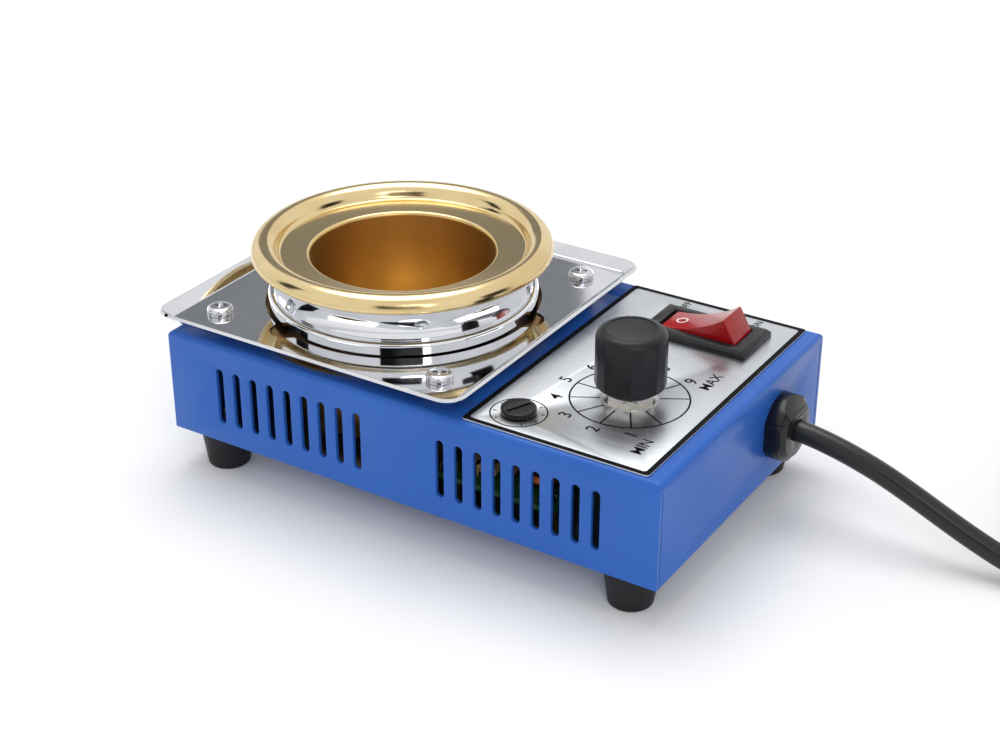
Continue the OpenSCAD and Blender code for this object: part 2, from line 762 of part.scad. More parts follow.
module bezel_block() {
  c = bezel_chamfer;
  intersection() {
    translate([0, bezel_w / 2, 0]) rotate([90, 0, 0]) linear_extrude(bezel_w) polygon([
      [-bezel_l / 2, 0], [bezel_l / 2, 0], [bezel_l / 2, bezel_h - c],
      [bezel_l / 2 - c, bezel_h], [-bezel_l / 2 + c, bezel_h], [-bezel_l / 2, bezel_h - c]
    ]);
    translate([-bezel_l / 2, 0, 0]) rotate([90, 0, 90]) linear_extrude(bezel_l) polygon([
      [-bezel_w / 2, 0], [bezel_w / 2, 0], [bezel_w / 2, bezel_h - c],
      [bezel_w / 2 - c, bezel_h], [-bezel_w / 2 + c, bezel_h], [-bezel_w / 2, bezel_h - c]
    ]);
  }
}

module switch_housing() {
  bottom = panel_z - switch_depth;
  color([0.13, 0.14, 0.15]) difference() {
    union() {
      translate([switch_x, switch_y, panel_z]) bezel_block();
      translate([switch_x - housing_l / 2, switch_y - housing_w / 2, bottom])
        cube([housing_l, housing_w, switch_depth + slop]);
      // the sprung ears that grip the panel from below
      for (side = [-1, 1]) translate([switch_x + side * (housing_l / 2 + 0.35), switch_y, under_z - 2.2])
        cube([0.8, 6, 3.6], center = true);
    }
    translate([switch_x - rocker_open_l / 2, switch_y - rocker_open_w / 2, bottom + switch_wall])
      cube([rocker_open_l, rocker_open_w, switch_depth + bezel_h + 2]);
    translate([switch_x, switch_y, pivot_z]) rotate([90, 0, 0])
      cylinder(h = rocker_open_w + 1.2, r = pivot_r + running_gap, center = true);
  }
}

// The rocker level, its pivot at the origin: a keel below and a hollow arc above
module rocker_section() {
  half = rocker_l / 2;
  tip = half - rocker_lean;
  end_drop = 2.8;
  end_x = sqrt(half * half - end_drop * end_drop);
  keel = 6.5;
  sag_r = (tip * tip + rocker_sag * rocker_sag) / (2 * rocker_sag);
  difference() {
    polygon([
      [-tip, rocker_tip_h], [-end_x, -end_drop], [-2.5, -keel],
      [2.5, -keel], [end_x, -end_drop], [tip, rocker_tip_h]
    ]);
    translate([0, rocker_tip_h - rocker_sag + sag_r]) circle(sag_r, $fn = 180);
  }
}

module switch_rocker() {
  color([0.68, 0.06, 0.08]) translate([switch_x, switch_y, pivot_z]) rotate([0, -rocker_tilt, 0]) {
    rotate([90, 0, 0]) linear_extrude(rocker_w, center = true) rocker_section();
    rotate([90, 0, 0]) cylinder(h = rocker_open_w + 1, r = pivot_r, center = true);
  }
}

spade_x = 9;
spade_y = 3.6;
spade_w = 4.8;
spade_t = 0.8;

module switch_terminals() {
  bottom = panel_z - switch_depth;
  color([0.8, 0.78, 0.7]) for (x = [-1, 1], y = [-1, 1])
    translate([switch_x + x * spade_x, switch_y + y * spade_y, bottom - spade_l]) difference() {
      translate([-spade_w / 2, -spade_t / 2, 0]) cube([spade_w, spade_t, spade_l]);
      translate([0, 0, 2]) rotate([90, 0, 0]) cylinder(h = 2, r = 0.8, center = true);
    }
}

// ---- calibration trimmer ----

module trimmer_rotor() {
  slot = 1;
  stem_l = trim_z_gap + panel_z - under_z + 2.5;
  color([0.08, 0.08, 0.09]) translate([trim_x, -trim_y, panel_z + trim_z_gap]) difference() {
    union() {
      cylinder(h = trim_h, r = trim_d / 2);
      translate([0, 0, -stem_l]) cylinder(h = stem_l + slop, r = trim_stem_r);
    }
    rotate(trim_slot_angle) translate([-trim_d * 0.39, -slot / 2, trim_h - 0.8])
      cube([trim_d * 0.78, slot, 2]);
  }
}

trim_z_gap = 0.3;
trim_body_h = 7;

module trimmer_body() {
  color([0.15, 0.3, 0.6]) translate([trim_x, -trim_y, under_z - trim_body_h]) difference() {
    union() {
      translate([-trim_body / 2, -trim_body / 2, 0]) cube([trim_body, trim_body, trim_body_h]);
      for (i = [-1:1]) translate([i * 2.54 - 0.3, 2, -4]) cube([0.6, 0.6, 4 + slop]);
    }
    translate([0, 0, trim_body_h - 3]) cylinder(h = 4, r = trim_stem_r + running_gap);
  }
}

// ---- circuit board ----

board_x = pot_x + shell_r + board_gap;
board_y = -case_w / 2 + cover_t + board_side_gap;
hole_inset = 3.5;

module at_board_holes() {
  for (x = [hole_inset, board_l - hole_inset], y = [hole_inset, board_w - hole_inset])
    translate([board_x + x, board_y + y, 0]) children();
}

module circuit_board() {
  color([0.15, 0.4, 0.2]) difference() {
    translate([board_x, board_y, board_z]) cube([board_l, board_w, board_t]);
    at_board_holes() translate([0, 0, board_z - 1]) cylinder(h = board_t + 2, r = m3_r + hole_gap);
  }
}

module board_standoffs() {
  color([0.8, 0.7, 0.45]) at_board_holes() translate([0, 0, floor_z]) difference() {
    hex_prism(5.5, standoff_h);
    translate([0, 0, 1.5]) cylinder(h = standoff_h, r = m3_r + thread_gap);
  }
}

module board_screws() {
  color([0.75, 0.75, 0.77]) at_board_holes() translate([0, 0, board_top_z])
    pan_screw(m3_r, m3_head_r, m3_head_h, board_t + standoff_h - 2.2);
}

// Parts on the board, placed from its near left corner
module on_board(x, y) {
  translate([board_x + x, board_y + y, board_top_z]) children();
}

sink_at = [7, 34];
sink_l = 14;
sink_w = 10;
sink_h = 16;
sink_t = 1.4;

module heat_sink() {
  color([0.8, 0.8, 0.82]) on_board(sink_at[0], sink_at[1]) difference() {
    cube([sink_l, sink_w, sink_h]);
    translate([sink_t, -1, sink_t]) cube([sink_l - 2 * sink_t, sink_w - sink_t + 1, sink_h]);
    translate([sink_l / 2, sink_w, sink_h - 3.4]) rotate([90, 0, 0])
      cylinder(h = 3 * sink_t, r = 1.7, center = true);
  }
}

module triac() {
  tab_t = 1.3;
  color([0.12, 0.12, 0.13]) on_board(sink_at[0] + sink_l / 2, sink_at[1] + sink_w - sink_t) {
    difference() {
      translate([-5, -tab_t, 4]) cube([10, tab_t, sink_h - 4.4]);
      translate([0, 0, sink_h - 3.4]) rotate([90, 0, 0]) cylinder(h = 4, r = 1.8, center = true);
    }
    translate([-5, -4.4, 4]) cube([10, 4.4 - tab_t + slop, 6]);
    for (i = [-1:1]) translate([i * 2.54 - 0.35, -2.6, sink_t]) cube([0.7, 0.5, 2.7]);
  }
}

module capacitor() {
  color([0.85, 0.75, 0.2]) on_board(9, 20) linear_extrude(11.5)
    translate([9, 3.5]) rounded_rect(18, 7, 1);
}

module choke() {
  color([0.6, 0.35, 0.15]) on_board(28.6, 12.4) rotate_extrude()
    translate([4.5, 2.7]) circle(2.6);
}

module resistors() {
  color([0.75, 0.65, 0.45]) for (i = [0:3]) on_board(8 + i * 4, 9) {
    translate([0, 0, 1.6]) rotate([90, 0, 0]) cylinder(h = 7, r = 1.2, center = true);
    for (end = [-1, 1]) translate([0, end * 4.6, 0]) {
      cylinder(h = 1.9, r = 0.3);
      translate([0, 0, 1.6]) rotate([end * 90, 0, 0]) cylinder(h = 1.6, r = 0.3);
    }
  }
}

block_at = [21, 44.5];
block_l = 13;
block_h = 9;

module terminal_block() {
  color([0.2, 0.5, 0.3]) on_board(block_at[0] - 3, block_at[1]) difference() {
    cube([block_l, 7, block_h]);
    for (i = [0:2]) translate([2.5 + i * 4, 3.5, block_h - 3]) cylinder(h = 4, r = 1.5);
    for (i = [0:2]) translate([2.5 + i * 4, 5, 3.5]) rotate([-90, 0, 0]) cylinder(h = 4, r = 1.4);
  }
}

// ---- wires and cords ----

// A smooth curve through hand-set points, n steps to each
function spline(p, n) = concat(
  [
    for (i = [0:len(p) - 2], j = [0:n - 1])
      let (
        a = p[max(i - 1, 0)], b = p[i], c = p[i + 1], d = p[min(i + 2, len(p) - 1)], t = j / n
      )
      ((2 * b) + (c - a) * t + (2 * a - 5 * b + 4 * c - d) * t * t
        + (3 * b - a - 3 * c + d) * t * t * t) / 2
  ],
  [p[len(p) - 1]]
);

// A tube swept along a path that is never vertical
module tube(path, r, sides) {
  n = len(path);
  function heading(i) = let (v = path[min(i + 1, n - 1)] - path[max(i - 1, 0)]) v / norm(v);
  function level(i) = let (t = heading(i), s = cross([0, 0, 1], t)) s / norm(s);
  points = [
    for (i = [0:n - 1], k = [0:sides - 1])
      let (s = level(i), u = cross(heading(i), s), a = 360 * k / sides)
      path[i] + r * (cos(a) * s + sin(a) * u)
  ];
  faces = concat(
    [[for (k = [0:sides - 1]) sides - 1 - k]],
    [
      for (i = [0:n - 2], k = [0:sides - 1])
        let (a = i * sides + k, b = i * sides + (k + 1) % sides)
        [a, b, b + sides, a + sides]
    ],
    [[for (k = [0:sides - 1]) (n - 1) * sides + k]]
  );
  polyhedron(points, faces, convexity = 8);
}

lead_y = board_y + block_at[1] + 9;
lead_z = floor_z + 12;
lead_hole_r = 4.2;
lead_r = 1.2;
lead_pitch = 3.2;
lead_run = 7;
lead_bend = 5;

// Two sleeved wires from the heater through the shell to the terminal block
module heater_leads() {
  from_x = pot_x + shell_r - 2 * lead_r;
  block_x = board_x + block_at[0] - 0.5;
  to_y = board_y + block_at[1] + 7 + hole_gap;
  to_z = board_top_z + block_h * 0.39;
  color([0.88, 0.87, 0.82]) for (i = [0, 1])
    tube(spline([
      [from_x, lead_y + (i - 0.5) * lead_pitch, lead_z],
      [from_x + lead_run, lead_y + (i - 0.4) * lead_pitch, lead_z],
      [from_x + 2.4 * lead_run, lead_y + 2 + i * lead_pitch, lead_z - 2],
      [block_x + i * 4 - 4, to_y + lead_bend + i * lead_pitch / 2, to_z + lead_r],
      [block_x + i * 4, to_y, to_z]
    ], 3), lead_r, 8);
}

relief_x = end_x - cover_t - relief_in;
core_r = 1;

// The cord's two cores, run to the spades of the switch
module switch_leads() {
  spade_z = panel_z - switch_depth - spade_l / 2;
  from_x = relief_x + 0.2;
  to_x = switch_x + spade_x + spade_w / 2 + core_r;
  color([0.35, 0.2, 0.12]) for (i = [0, 1])
    tube(spline([
      [from_x, cord_y + i * 3 - 1.5, cord_exit_z],
      [from_x - 3, cord_y + i * 4 - 1.6, cord_exit_z + i * 0.4],
      [from_x - 5.4 + i * 1.2, cord_y + i * 5 + 2.5, cord_exit_z - i * 0.2],
      [to_x, switch_y + (i * 2 - 1) * spade_y, spade_z]
    ], 4), core_r, 8);
}

cord_r = cord_d / 2;

// The head of the strain relief in the plane of the end wall: flat sides, round ends
module relief_outline(r) {
  intersection() {
    circle(r);
    square([2 * r, 2 * r * 0.96], center = true);
  }
}

module relief_blank() {
  rotate([0, 90, 0]) {
    linear_extrude(relief_out - 1.5) relief_outline(relief_r);
    translate([0, 0, relief_out - 1.5]) cylinder(h = 1.5, r1 = relief_r * 0.96, r2 = relief_r * 0.8);
    translate([0, 0, -cover_t - slop]) cylinder(h = cover_t + 2 * slop, r = relief_waist_r);
    translate([0, 0, -cover_t - relief_in])
      cylinder(h = relief_in, r1 = relief_waist_r * 0.8, r2 = relief_waist_r);
  }
}

relief_split = 4.6;
relief_seam = 0.15;

module relief_bore() {
  translate([-50, 0, 0]) rotate([0, 90, 0]) cylinder(h = 100, r = cord_r + hole_gap);
}

module strain_relief_lower() {
  color([0.12, 0.12, 0.13]) translate([end_x, cord_y, cord_exit_z]) difference() {
    relief_blank();
    relief_bore();
    translate([-50, -50, relief_split]) cube([100, 100, 50]);
    // the sides of the lower half are planed flat
    for (side = [-1, 1]) translate([0, side * (relief_r + 4.2), 0])
      cube([2 * relief_out + 4, 10, 50], center = true);
  }
}

// The upper half is a wedge that slopes out to the split
module strain_relief_upper() {
  color([0.14, 0.14, 0.15]) translate([end_x, cord_y, cord_exit_z]) difference() {
    relief_blank();
    relief_bore();
    translate([-50, -50, relief_split + relief_seam - 50]) cube([100, 100, 50]);
    translate([relief_out, 0, relief_split + 0.8]) rotate([0, -38, 0])
      translate([0, -20, 0]) cube([20, 40, 20]);
  }
}

// Route of the free cord from the strain relief down to the bench and its coil
cord_route = [
  [74, 21, 27.4], [82, 21, 27.4], [90, 21, 27.2], [98, 21, 25.9], [106, 21, 23.9], [114, 21, 21.3],
  [123, 21, 17.6], [132, 21, 13.6], [141, 21, 9.8], [150, 21, 6.6], [159, 21, 4.6], [168, 21, 4.0],
  [177, 21, 4.0], [186, 21, 4.2]
];
coil_centre = [186, 61];
coil_outer = 40;
coil_pitch = 6.3;
coil_rows = 3;
coil_lift = 1;
tail_route = [
  [226, 61, 10.5], [225.2, 70, 11.6], [221.8, 79.5, 14.2], [215, 87, 17.8],
  [207, 90.9, 21.2], [200.5, 91.6, 22.7], [197.8, 91.6, 22.7], [195, 91.6, 22.7]
];
cord_sides = 10;

module power_cord() {
  color([0.1, 0.1, 0.11]) tube(spline(cord_route, 2), cord_r, cord_sides);
}

module cord_tail() {
  color([0.1, 0.1, 0.11]) tube(spline(tail_route, 2), cord_r, cord_sides);
}

coil_inner_r = coil_outer - (coil_rows - 1) * coil_pitch - cord_r;
coil_outer_r = coil_outer + cord_r;
coil_h = coil_pitch + cord_d;

module cord_coil() {
  color([0.1, 0.1, 0.11]) translate([coil_centre[0], coil_centre[1], coil_lift]) rotate_extrude()
    translate([(coil_inner_r + coil_outer_r) / 2, coil_h / 2])
      rounded_rect(coil_outer_r - coil_inner_r, coil_h, cord_r - 0.1);
}

module cord_tie() {
  tie_t = 0.8;
  tie_w = 6;
  gap = 0.3;
  w = coil_outer_r - coil_inner_r + 2 * gap;
  h = coil_h + 2 * gap;
  color([0.06, 0.06, 0.07]) translate([coil_centre[0], coil_centre[1], coil_lift + coil_h / 2])
    rotate(-20) translate([(coil_inner_r + coil_outer_r) / 2, tie_w / 2, 0])
      rotate([90, 0, 0]) linear_extrude(tie_w) difference() {
        rounded_rect(w + 2 * tie_t, h + 2 * tie_t, 2.4);
        rounded_rect(w, h, 1.6);
      }
}

// ---- mains plug ----

plug_x = 195;
plug_y = 91.6;
plug_z = 22.7;
plug_relief_l = 22;
plug_l = 20;
plug_w = 24;
plug_h = 18;

// Rubber plug moulded onto the cord: a ribbed tail and a body waisted for the fingers
module mains_plug() {
  color([0.1, 0.1, 0.11]) translate([plug_x, plug_y, plug_z]) rotate([0, -90, 0]) {
    for (i = [0:4]) translate([0, 0, 1 + i * 3.4]) cylinder(h = 1.8, r = 4 + i * 0.45);
    cylinder(h = plug_relief_l, r1 = 3.5, r2 = 5.2);
    translate([0, 0, plug_relief_l]) difference() {
      linear_extrude(plug_l) rounded_rect(plug_h, plug_w, 5);
      for (side = [-1, 1]) translate([0, side * (plug_w / 2 + 16), plug_l * 0.42])
        rotate([0, 90, 0]) cylinder(h = plug_h + 2, r = 18, center = true);
      for (i = [0:3], side = [-1, 1]) translate([side * plug_h / 2, 0, 4 + i * 3])
        rotate([90, 0, 0]) cylinder(h = plug_w * 0.5, r = 0.5, center = true);
    }
  }
}

module plug_pins() {
  face = plug_x - plug_relief_l - plug_l;
  color([0.8, 0.72, 0.45]) {
    for (side = [-1, 1]) translate([face - 17, plug_y + side * 6.35 - 0.75, plug_z - 4.5])
      cube([17, 1.5, 6.3]);
    translate([face, plug_y, plug_z + 5]) rotate([0, -90, 0]) {
      cylinder(h = 17, r = 2.4);
      translate([0, 0, 17]) cylinder(h = 2, r1 = 2.4, r2 = 1.4);
    }
  }
}

case_cover();
base_plate();
foot_front_left();
foot_front_right();
foot_rear_left();
foot_rear_right();
foot_screws();
foot_nuts();
deck_plate();
deck_screws();
deck_spacers();
deck_nuts();
heater_collar();
crucible();
heater_band();
heater_strap();
strap_screw();
insulation();
heater_shell();
shell_rivets();
control_panel();
control_knob();
potentiometer_shaft();
potentiometer_body();
potentiometer_washer();
potentiometer_nut();
switch_housing();
switch_rocker();
switch_terminals();
trimmer_rotor();
trimmer_body();
circuit_board();
board_standoffs();
board_screws();
triac();
heat_sink();
capacitor();
choke();
resistors();
terminal_block();
heater_leads();
switch_leads();
strain_relief_lower();
strain_relief_upper();
power_cord();
cord_coil();
cord_tail();
cord_tie();
mains_plug();
plug_pins();
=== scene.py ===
import math

import bmesh
import bpy
from mathutils import Matrix, Vector


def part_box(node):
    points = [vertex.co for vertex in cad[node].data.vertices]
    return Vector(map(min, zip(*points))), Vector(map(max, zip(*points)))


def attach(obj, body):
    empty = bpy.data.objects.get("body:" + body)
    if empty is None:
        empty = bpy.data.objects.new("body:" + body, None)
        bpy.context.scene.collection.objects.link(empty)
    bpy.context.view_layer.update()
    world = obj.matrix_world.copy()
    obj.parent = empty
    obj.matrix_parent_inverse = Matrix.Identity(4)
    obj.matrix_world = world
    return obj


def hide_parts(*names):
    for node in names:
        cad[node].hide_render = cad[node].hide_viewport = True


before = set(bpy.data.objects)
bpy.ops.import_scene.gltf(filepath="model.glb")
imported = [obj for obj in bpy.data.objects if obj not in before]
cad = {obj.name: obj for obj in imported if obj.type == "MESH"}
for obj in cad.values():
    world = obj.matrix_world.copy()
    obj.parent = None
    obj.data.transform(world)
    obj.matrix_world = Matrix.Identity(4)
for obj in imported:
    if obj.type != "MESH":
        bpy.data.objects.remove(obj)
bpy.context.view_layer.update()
mm = 0.001


# ---- Bench, lamps and camera ----
# A white bench top in an even, pale room, with a soft lamp overhead and a weaker one at the
# front right. Grey and black cards stand where a workshop is dark, for polished metal to show.
def colour(red, green, blue):
    """A colour from a paint chart, 0 to 255 a channel, as a shader's socket takes it."""
    chart = (red / 255, green / 255, blue / 255)
    return tuple(c / 12.92 if c <= 0.04 else ((c + 0.055) / 1.055) ** 2.4 for c in chart) + (1.0,)


def add(tree, kind, inputs=(), **settings):
    """A node of that kind, with its settings made and each input joined or given its value."""
    node = tree.nodes.new(kind)
    for name, value in settings.items():
        setattr(node, name, value)
    for name, value in dict(inputs).items():
        if isinstance(value, bpy.types.NodeSocket):
            tree.links.new(value, node.inputs[name])
        else:
            node.inputs[name].default_value = value
    return node


def mesh_piece(name, points, faces):
    """A new object at the origin from points and faces."""
    mesh = bpy.data.meshes.new(name)
    mesh.from_pydata([tuple(p) for p in points], [], faces)
    piece = bpy.data.objects.new(name, mesh)
    bpy.context.collection.objects.link(piece)
    return piece


def lit_surface(name, shade, speckled):
    """A matt surface of one shade, with a fine speckle on it if asked."""
    material = bpy.data.materials.new(name)
    material.use_nodes = True
    tree = material.node_tree
    tree.nodes.clear()
    out = add(tree, "ShaderNodeOutputMaterial")
    matt = add(tree, "ShaderNodeBsdfDiffuse", {"Color": shade})
    if speckled:
        speckle = add(tree, "ShaderNodeTexNoise", {"Scale": 900.0})
        height = add(tree, "ShaderNodeBump", {"Height": speckle.outputs[0], "Distance": 0.00002})
        tree.links.new(height.outputs[0], matt.inputs["Normal"])
    tree.links.new(matt.outputs[0], out.inputs[0])
    return material


def card(name, middle, facing, width, height, material):
    """A flat board, stood up in the room with its middle there and facing a point."""
    turn = (Vector(facing) - Vector(middle)).to_track_quat("Z", "Y").to_matrix()
    corners = [(-1, -1), (1, -1), (1, 1), (-1, 1)]
    board = mesh_piece(
        name,
        [Vector(middle) + turn @ Vector((x * width / 2, y * height / 2, 0)) for x, y in corners],
        [(0, 1, 2, 3)],
    )
    board.data.materials.append(material)
    return board


def lamp(name, place, aim, size, power):
    """A round area lamp at a place, aimed at a point."""
    light = bpy.data.lights.new(name, "AREA")
    light.shape = "DISK"
    light.size = size
    light.energy = power
    holder = bpy.data.objects.new(name, light)
    holder.location = place
    holder.rotation_euler = (Vector(aim) - Vector(place)).to_track_quat("-Z", "Y").to_euler()
    bpy.context.collection.objects.link(holder)


bench_white = lit_surface("bench_white", (0.97, 0.97, 0.97, 1), True)
card("bench_top", (0, 0, 0), (0, 0, 1), 8.0, 8.0, bench_white)
card_black = lit_surface("card_black", (0.004, 0.004, 0.005, 1), False)
card_grey = lit_surface("card_grey", (0.30, 0.31, 0.33, 1), False)
for name, middle, width, height, material in (
    ("grey_card_back", (-0.86, 0.89, 0.66), 0.70, 0.55, card_grey),
    ("dark_card_front", (0.50, -0.84, 0.50), 0.62, 0.50, card_black),
    ("dark_card_right", (1.15, 0.30, 0.30), 0.50, 0.50, card_black),
    ("dark_card_left", (-1.0, -0.55, 0.55), 0.30, 0.60, card_black),
):
    board = card(name, middle, (0, 0, 0.05), width, height, material)
    board.visible_camera = board.visible_diffuse = board.visible_shadow = False

lamp("lamp_overhead", (-0.25, 0.25, 1.15), (0, 0, 0.03), 0.9, 6.3)
lamp("lamp_front_right", (0.75, -0.85, 0.75), (0, 0, 0.03), 0.6, 3.2)

room = bpy.data.worlds.new("pale_room")
room.use_nodes = True
bpy.context.scene.world = room
tree = room.node_tree
tree.nodes.clear()
ray = add(tree, "ShaderNodeLightPath")
seen = add(
    tree, "ShaderNodeMath", {0: ray.outputs["Is Camera Ray"], 1: ray.outputs["Is Glossy Ray"]},
    operation="MAXIMUM",
)
shown = add(
    tree, "ShaderNodeMath", {0: seen.outputs[0], 1: ray.outputs["Is Transmission Ray"]},
    operation="MAXIMUM",
)
air = add(tree, "ShaderNodeBackground", {"Color": (1, 1, 1, 1), "Strength": 0.66})
white = add(tree, "ShaderNodeBackground", {"Color": (1, 1, 1, 1), "Strength": 1.0})
either = add(tree, "ShaderNodeMixShader", {0: shown.outputs[0], 1: air.outputs[0], 2: white.outputs[0]})
add(tree, "ShaderNodeOutputWorld", {0: either.outputs[0]})
bpy.context.scene.view_settings.view_transform = "Standard"

lens = bpy.data.cameras.new("bench_camera")
lens.lens = 68.1
camera = bpy.data.objects.new("bench_camera", lens)
camera.location = (0.2612, -0.4086, 0.2897)
camera.rotation_euler = (math.radians(61.885), 0, math.radians(32.247))
bpy.context.collection.objects.link(camera)
bpy.context.scene.camera = camera


# ---- Cord ----
# A round three-core cord in black rubber, led down from the strain relief and wound into a
# two-layer coil for storage. A soft strap holds the coil, and a moulded plug is on its end.
def through(points, steps):
    """A smooth line through the points, with that many steps to each stretch."""
    line = []
    for i in range(len(points) - 1):
        a, b, c, d = (Vector(points[min(max(k, 0), len(points) - 1)]) for k in (i - 1, i, i + 1, i + 2))
        square, cube = 2 * a - 5 * b + 4 * c - d, 3 * b - a - 3 * c + d
        for j in range(steps):
            t = j / steps
            line.append((2 * b + (c - a) * t + square * t**2 + cube * t**3) / 2)
    return line + [Vector(points[-1])]


def smooth(piece, angle=35):
    """Smooth shading, with edges sharper than the angle kept."""
    piece.data.shade_smooth()
    piece.data.set_sharp_from_angle(angle=math.radians(angle))
    return piece


def outward(piece):
    """Merges doubled points and turns every face outwards."""
    work = bmesh.new()
    work.from_mesh(piece.data)
    bmesh.ops.remove_doubles(work, verts=work.verts, dist=1e-7)
    bmesh.ops.recalc_face_normals(work, faces=work.faces)
    work.to_mesh(piece.data)
    work.free()
    return piece


def hose(name, line, radius, sides):
    """A closed round tube along a line, with a UV map that runs round it and along it."""
    points, faces, along = [], [], [0.0]
    side = Vector((0, 1, 0))
    for i, p in enumerate(line):
        heading = (line[min(i + 1, len(line) - 1)] - line[max(i - 1, 0)]).normalized()
        side = (side - heading * side.dot(heading)).normalized()
        up = heading.cross(side)
        for k in range(sides):
            a = 2 * math.pi * k / sides
            points.append(p + radius * (math.cos(a) * side + math.sin(a) * up))
        if i:
            along.append(along[-1] + (p - line[i - 1]).length)
    for i in range(len(line) - 1):
        for k in range(sides):
            a, b = i * sides + k, i * sides + (k + 1) % sides
            faces.append((a, b, b + sides, a + sides))
    last = (len(line) - 1) * sides
    faces += [tuple(range(sides))[::-1], tuple(range(last, last + sides))]
    tube = mesh_piece(name, points, faces)
    run = tube.data.uv_layers.new(name="run")
    for face in tube.data.polygons:
        seam = len(face.vertices) == 4 and max(v % sides for v in face.vertices) == sides - 1
        for loop, v in zip(face.loop_indices, face.vertices):
            turn = v % sides
            turn = sides if seam and turn == 0 else turn
            run.data[loop].uv = (turn / sides * 2 * math.pi * radius, along[v // sides])
    return smooth(tube)


def effect(name, fineness, value):
    """An empty shader group that takes a place and a fineness, and gives a height and a drift."""
    tree = bpy.data.node_groups.new(name, "ShaderNodeTree")
    tree.interface.new_socket("Vector", in_out="INPUT", socket_type="NodeSocketVector")
    socket = tree.interface.new_socket(fineness, in_out="INPUT", socket_type="NodeSocketFloat")
    socket.default_value = value
    for key in ("Height", "Drift"):
        tree.interface.new_socket(key, in_out="OUTPUT", socket_type="NodeSocketFloat")
    return tree, tree.nodes.new("NodeGroupInput"), tree.nodes.new("NodeGroupOutput")


# The skin of a moulding or a casting: a fine grain, and a slow drift of shade and gloss
skin_grain, given, put = effect("skin_grain", "Grain", 1500.0)
fine = add(
    skin_grain, "ShaderNodeTexNoise",
    {"Vector": given.outputs[0], "Scale": given.outputs[1], "Detail": 3.0},
)
slow = add(skin_grain, "ShaderNodeMath", {0: given.outputs[1], 1: 0.06}, operation="MULTIPLY")
cloud = add(
    skin_grain, "ShaderNodeTexNoise", {"Vector": given.outputs[0], "Scale": slow.outputs[0], "Detail": 2.0},
)
drift = add(skin_grain, "ShaderNodeMapRange", {0: cloud.outputs[0], 1: 0.3, 2: 0.7})
skin_grain.links.new(fine.outputs[0], put.inputs["Height"])
skin_grain.links.new(drift.outputs[0], put.inputs["Drift"])


def finish(name, base, shade, rough, grain, depth, group=skin_grain, centre=(0, 0, 0), uv=False, **plain):
    """A finish whose colour drifts from base to shade and whose gloss drifts with it, with the
    group's height raised by depth millimetres. Plain values go on the shader's own sockets."""
    material = bpy.data.materials.new(name)
    material.use_nodes = True
    tree = material.node_tree
    shader = tree.nodes["Principled BSDF"]
    for key, value in plain.items():
        shader.inputs[key.replace("_", " ")].default_value = value
    place = add(tree, "ShaderNodeTexCoord").outputs["UV" if uv else "Object"]
    place = add(tree, "ShaderNodeMapping", {"Vector": place, "Location": centre}).outputs[0]
    marks = add(tree, "ShaderNodeGroup", node_tree=group)
    tree.links.new(place, marks.inputs[0])
    marks.inputs[1].default_value = grain
    tint = add(tree, "ShaderNodeMix", {0: marks.outputs["Drift"], 6: base, 7: shade}, data_type="RGBA")
    gloss = add(tree, "ShaderNodeMapRange", {0: marks.outputs["Drift"], 3: rough * 0.88, 4: rough * 1.15})
    bump = add(tree, "ShaderNodeBump", {"Height": marks.outputs["Height"], "Distance": depth * mm})
    tree.links.new(tint.outputs[2], shader.inputs["Base Color"])
    tree.links.new(gloss.outputs[0], shader.inputs["Roughness"])
    tree.links.new(bump.outputs[0], shader.inputs["Normal"])
    return material


def dress(material, *names):
    """Gives CAD nodes, or pieces, that finish in every slot."""
    for name in names:
        piece = cad[name] if isinstance(name, str) else name
        if not piece.data.materials:
            piece.data.materials.append(material)
        for i in range(len(piece.material_slots)):
            piece.material_slots[i].material = material


cord_r = 3.1
coil_centre = Vector((186, 61, 0))
coil_outer = 40
coil_pitch = 6.25
coil_turns = 5.25
coil_low, coil_high = 4.1, 10.4
cord_start = [
    (74, 21, 27.4), (82, 21, 27.4), (90, 21, 27.2), (98, 21, 25.9), (106, 21, 23.9),
    (114, 21, 21.3), (123, 21, 17.6), (132, 21, 13.6), (141, 21, 9.8), (150, 21, 6.6),
    (159, 21, 4.6), (168, 21, 4.0), (177, 21, 4.0), (186, 21, 4.2),
]
cord_end = [
    (226, 61, 10.5), (225.2, 70, 11.6), (221.8, 79.5, 14.2), (215, 87, 17.8),
    (207, 90.9, 21.2), (200.5, 91.6, 22.7), (197.8, 91.6, 22.7), (195, 91.6, 22.7),
]


def coil_line(steps_per_turn=32):
    """Inward along the bottom layer, up at the middle, and outward along the top layer."""
    line, half = [], coil_turns / 2
    count = round(coil_turns * steps_per_turn)
    for i in range(1, count):
        t = coil_turns * i / count
        rise = min(max((t - half + 0.3) / 0.6, 0), 1)
        rise = rise * rise * (3 - 2 * rise)
        r = coil_outer - coil_pitch * (half - abs(half - t))
        a = 2 * math.pi * (t - 0.25)
        line.append(coil_centre + Vector((
            r * math.cos(a), r * math.sin(a), coil_low + rise * (coil_high - coil_low),
        )))
    return line


cord_line = [mm * p for p in through(cord_start, 4) + coil_line() + through(cord_end, 4)]
cord = hose("mains_cord", cord_line, cord_r * mm, 20)
cord_rubber = finish(
    "cord_rubber", colour(13, 13, 15), colour(22, 22, 25), 0.28, 900.0, 0.02, uv=True,
    Specular_IOR_Level=0.45,
)
dress(cord_rubber, cord)


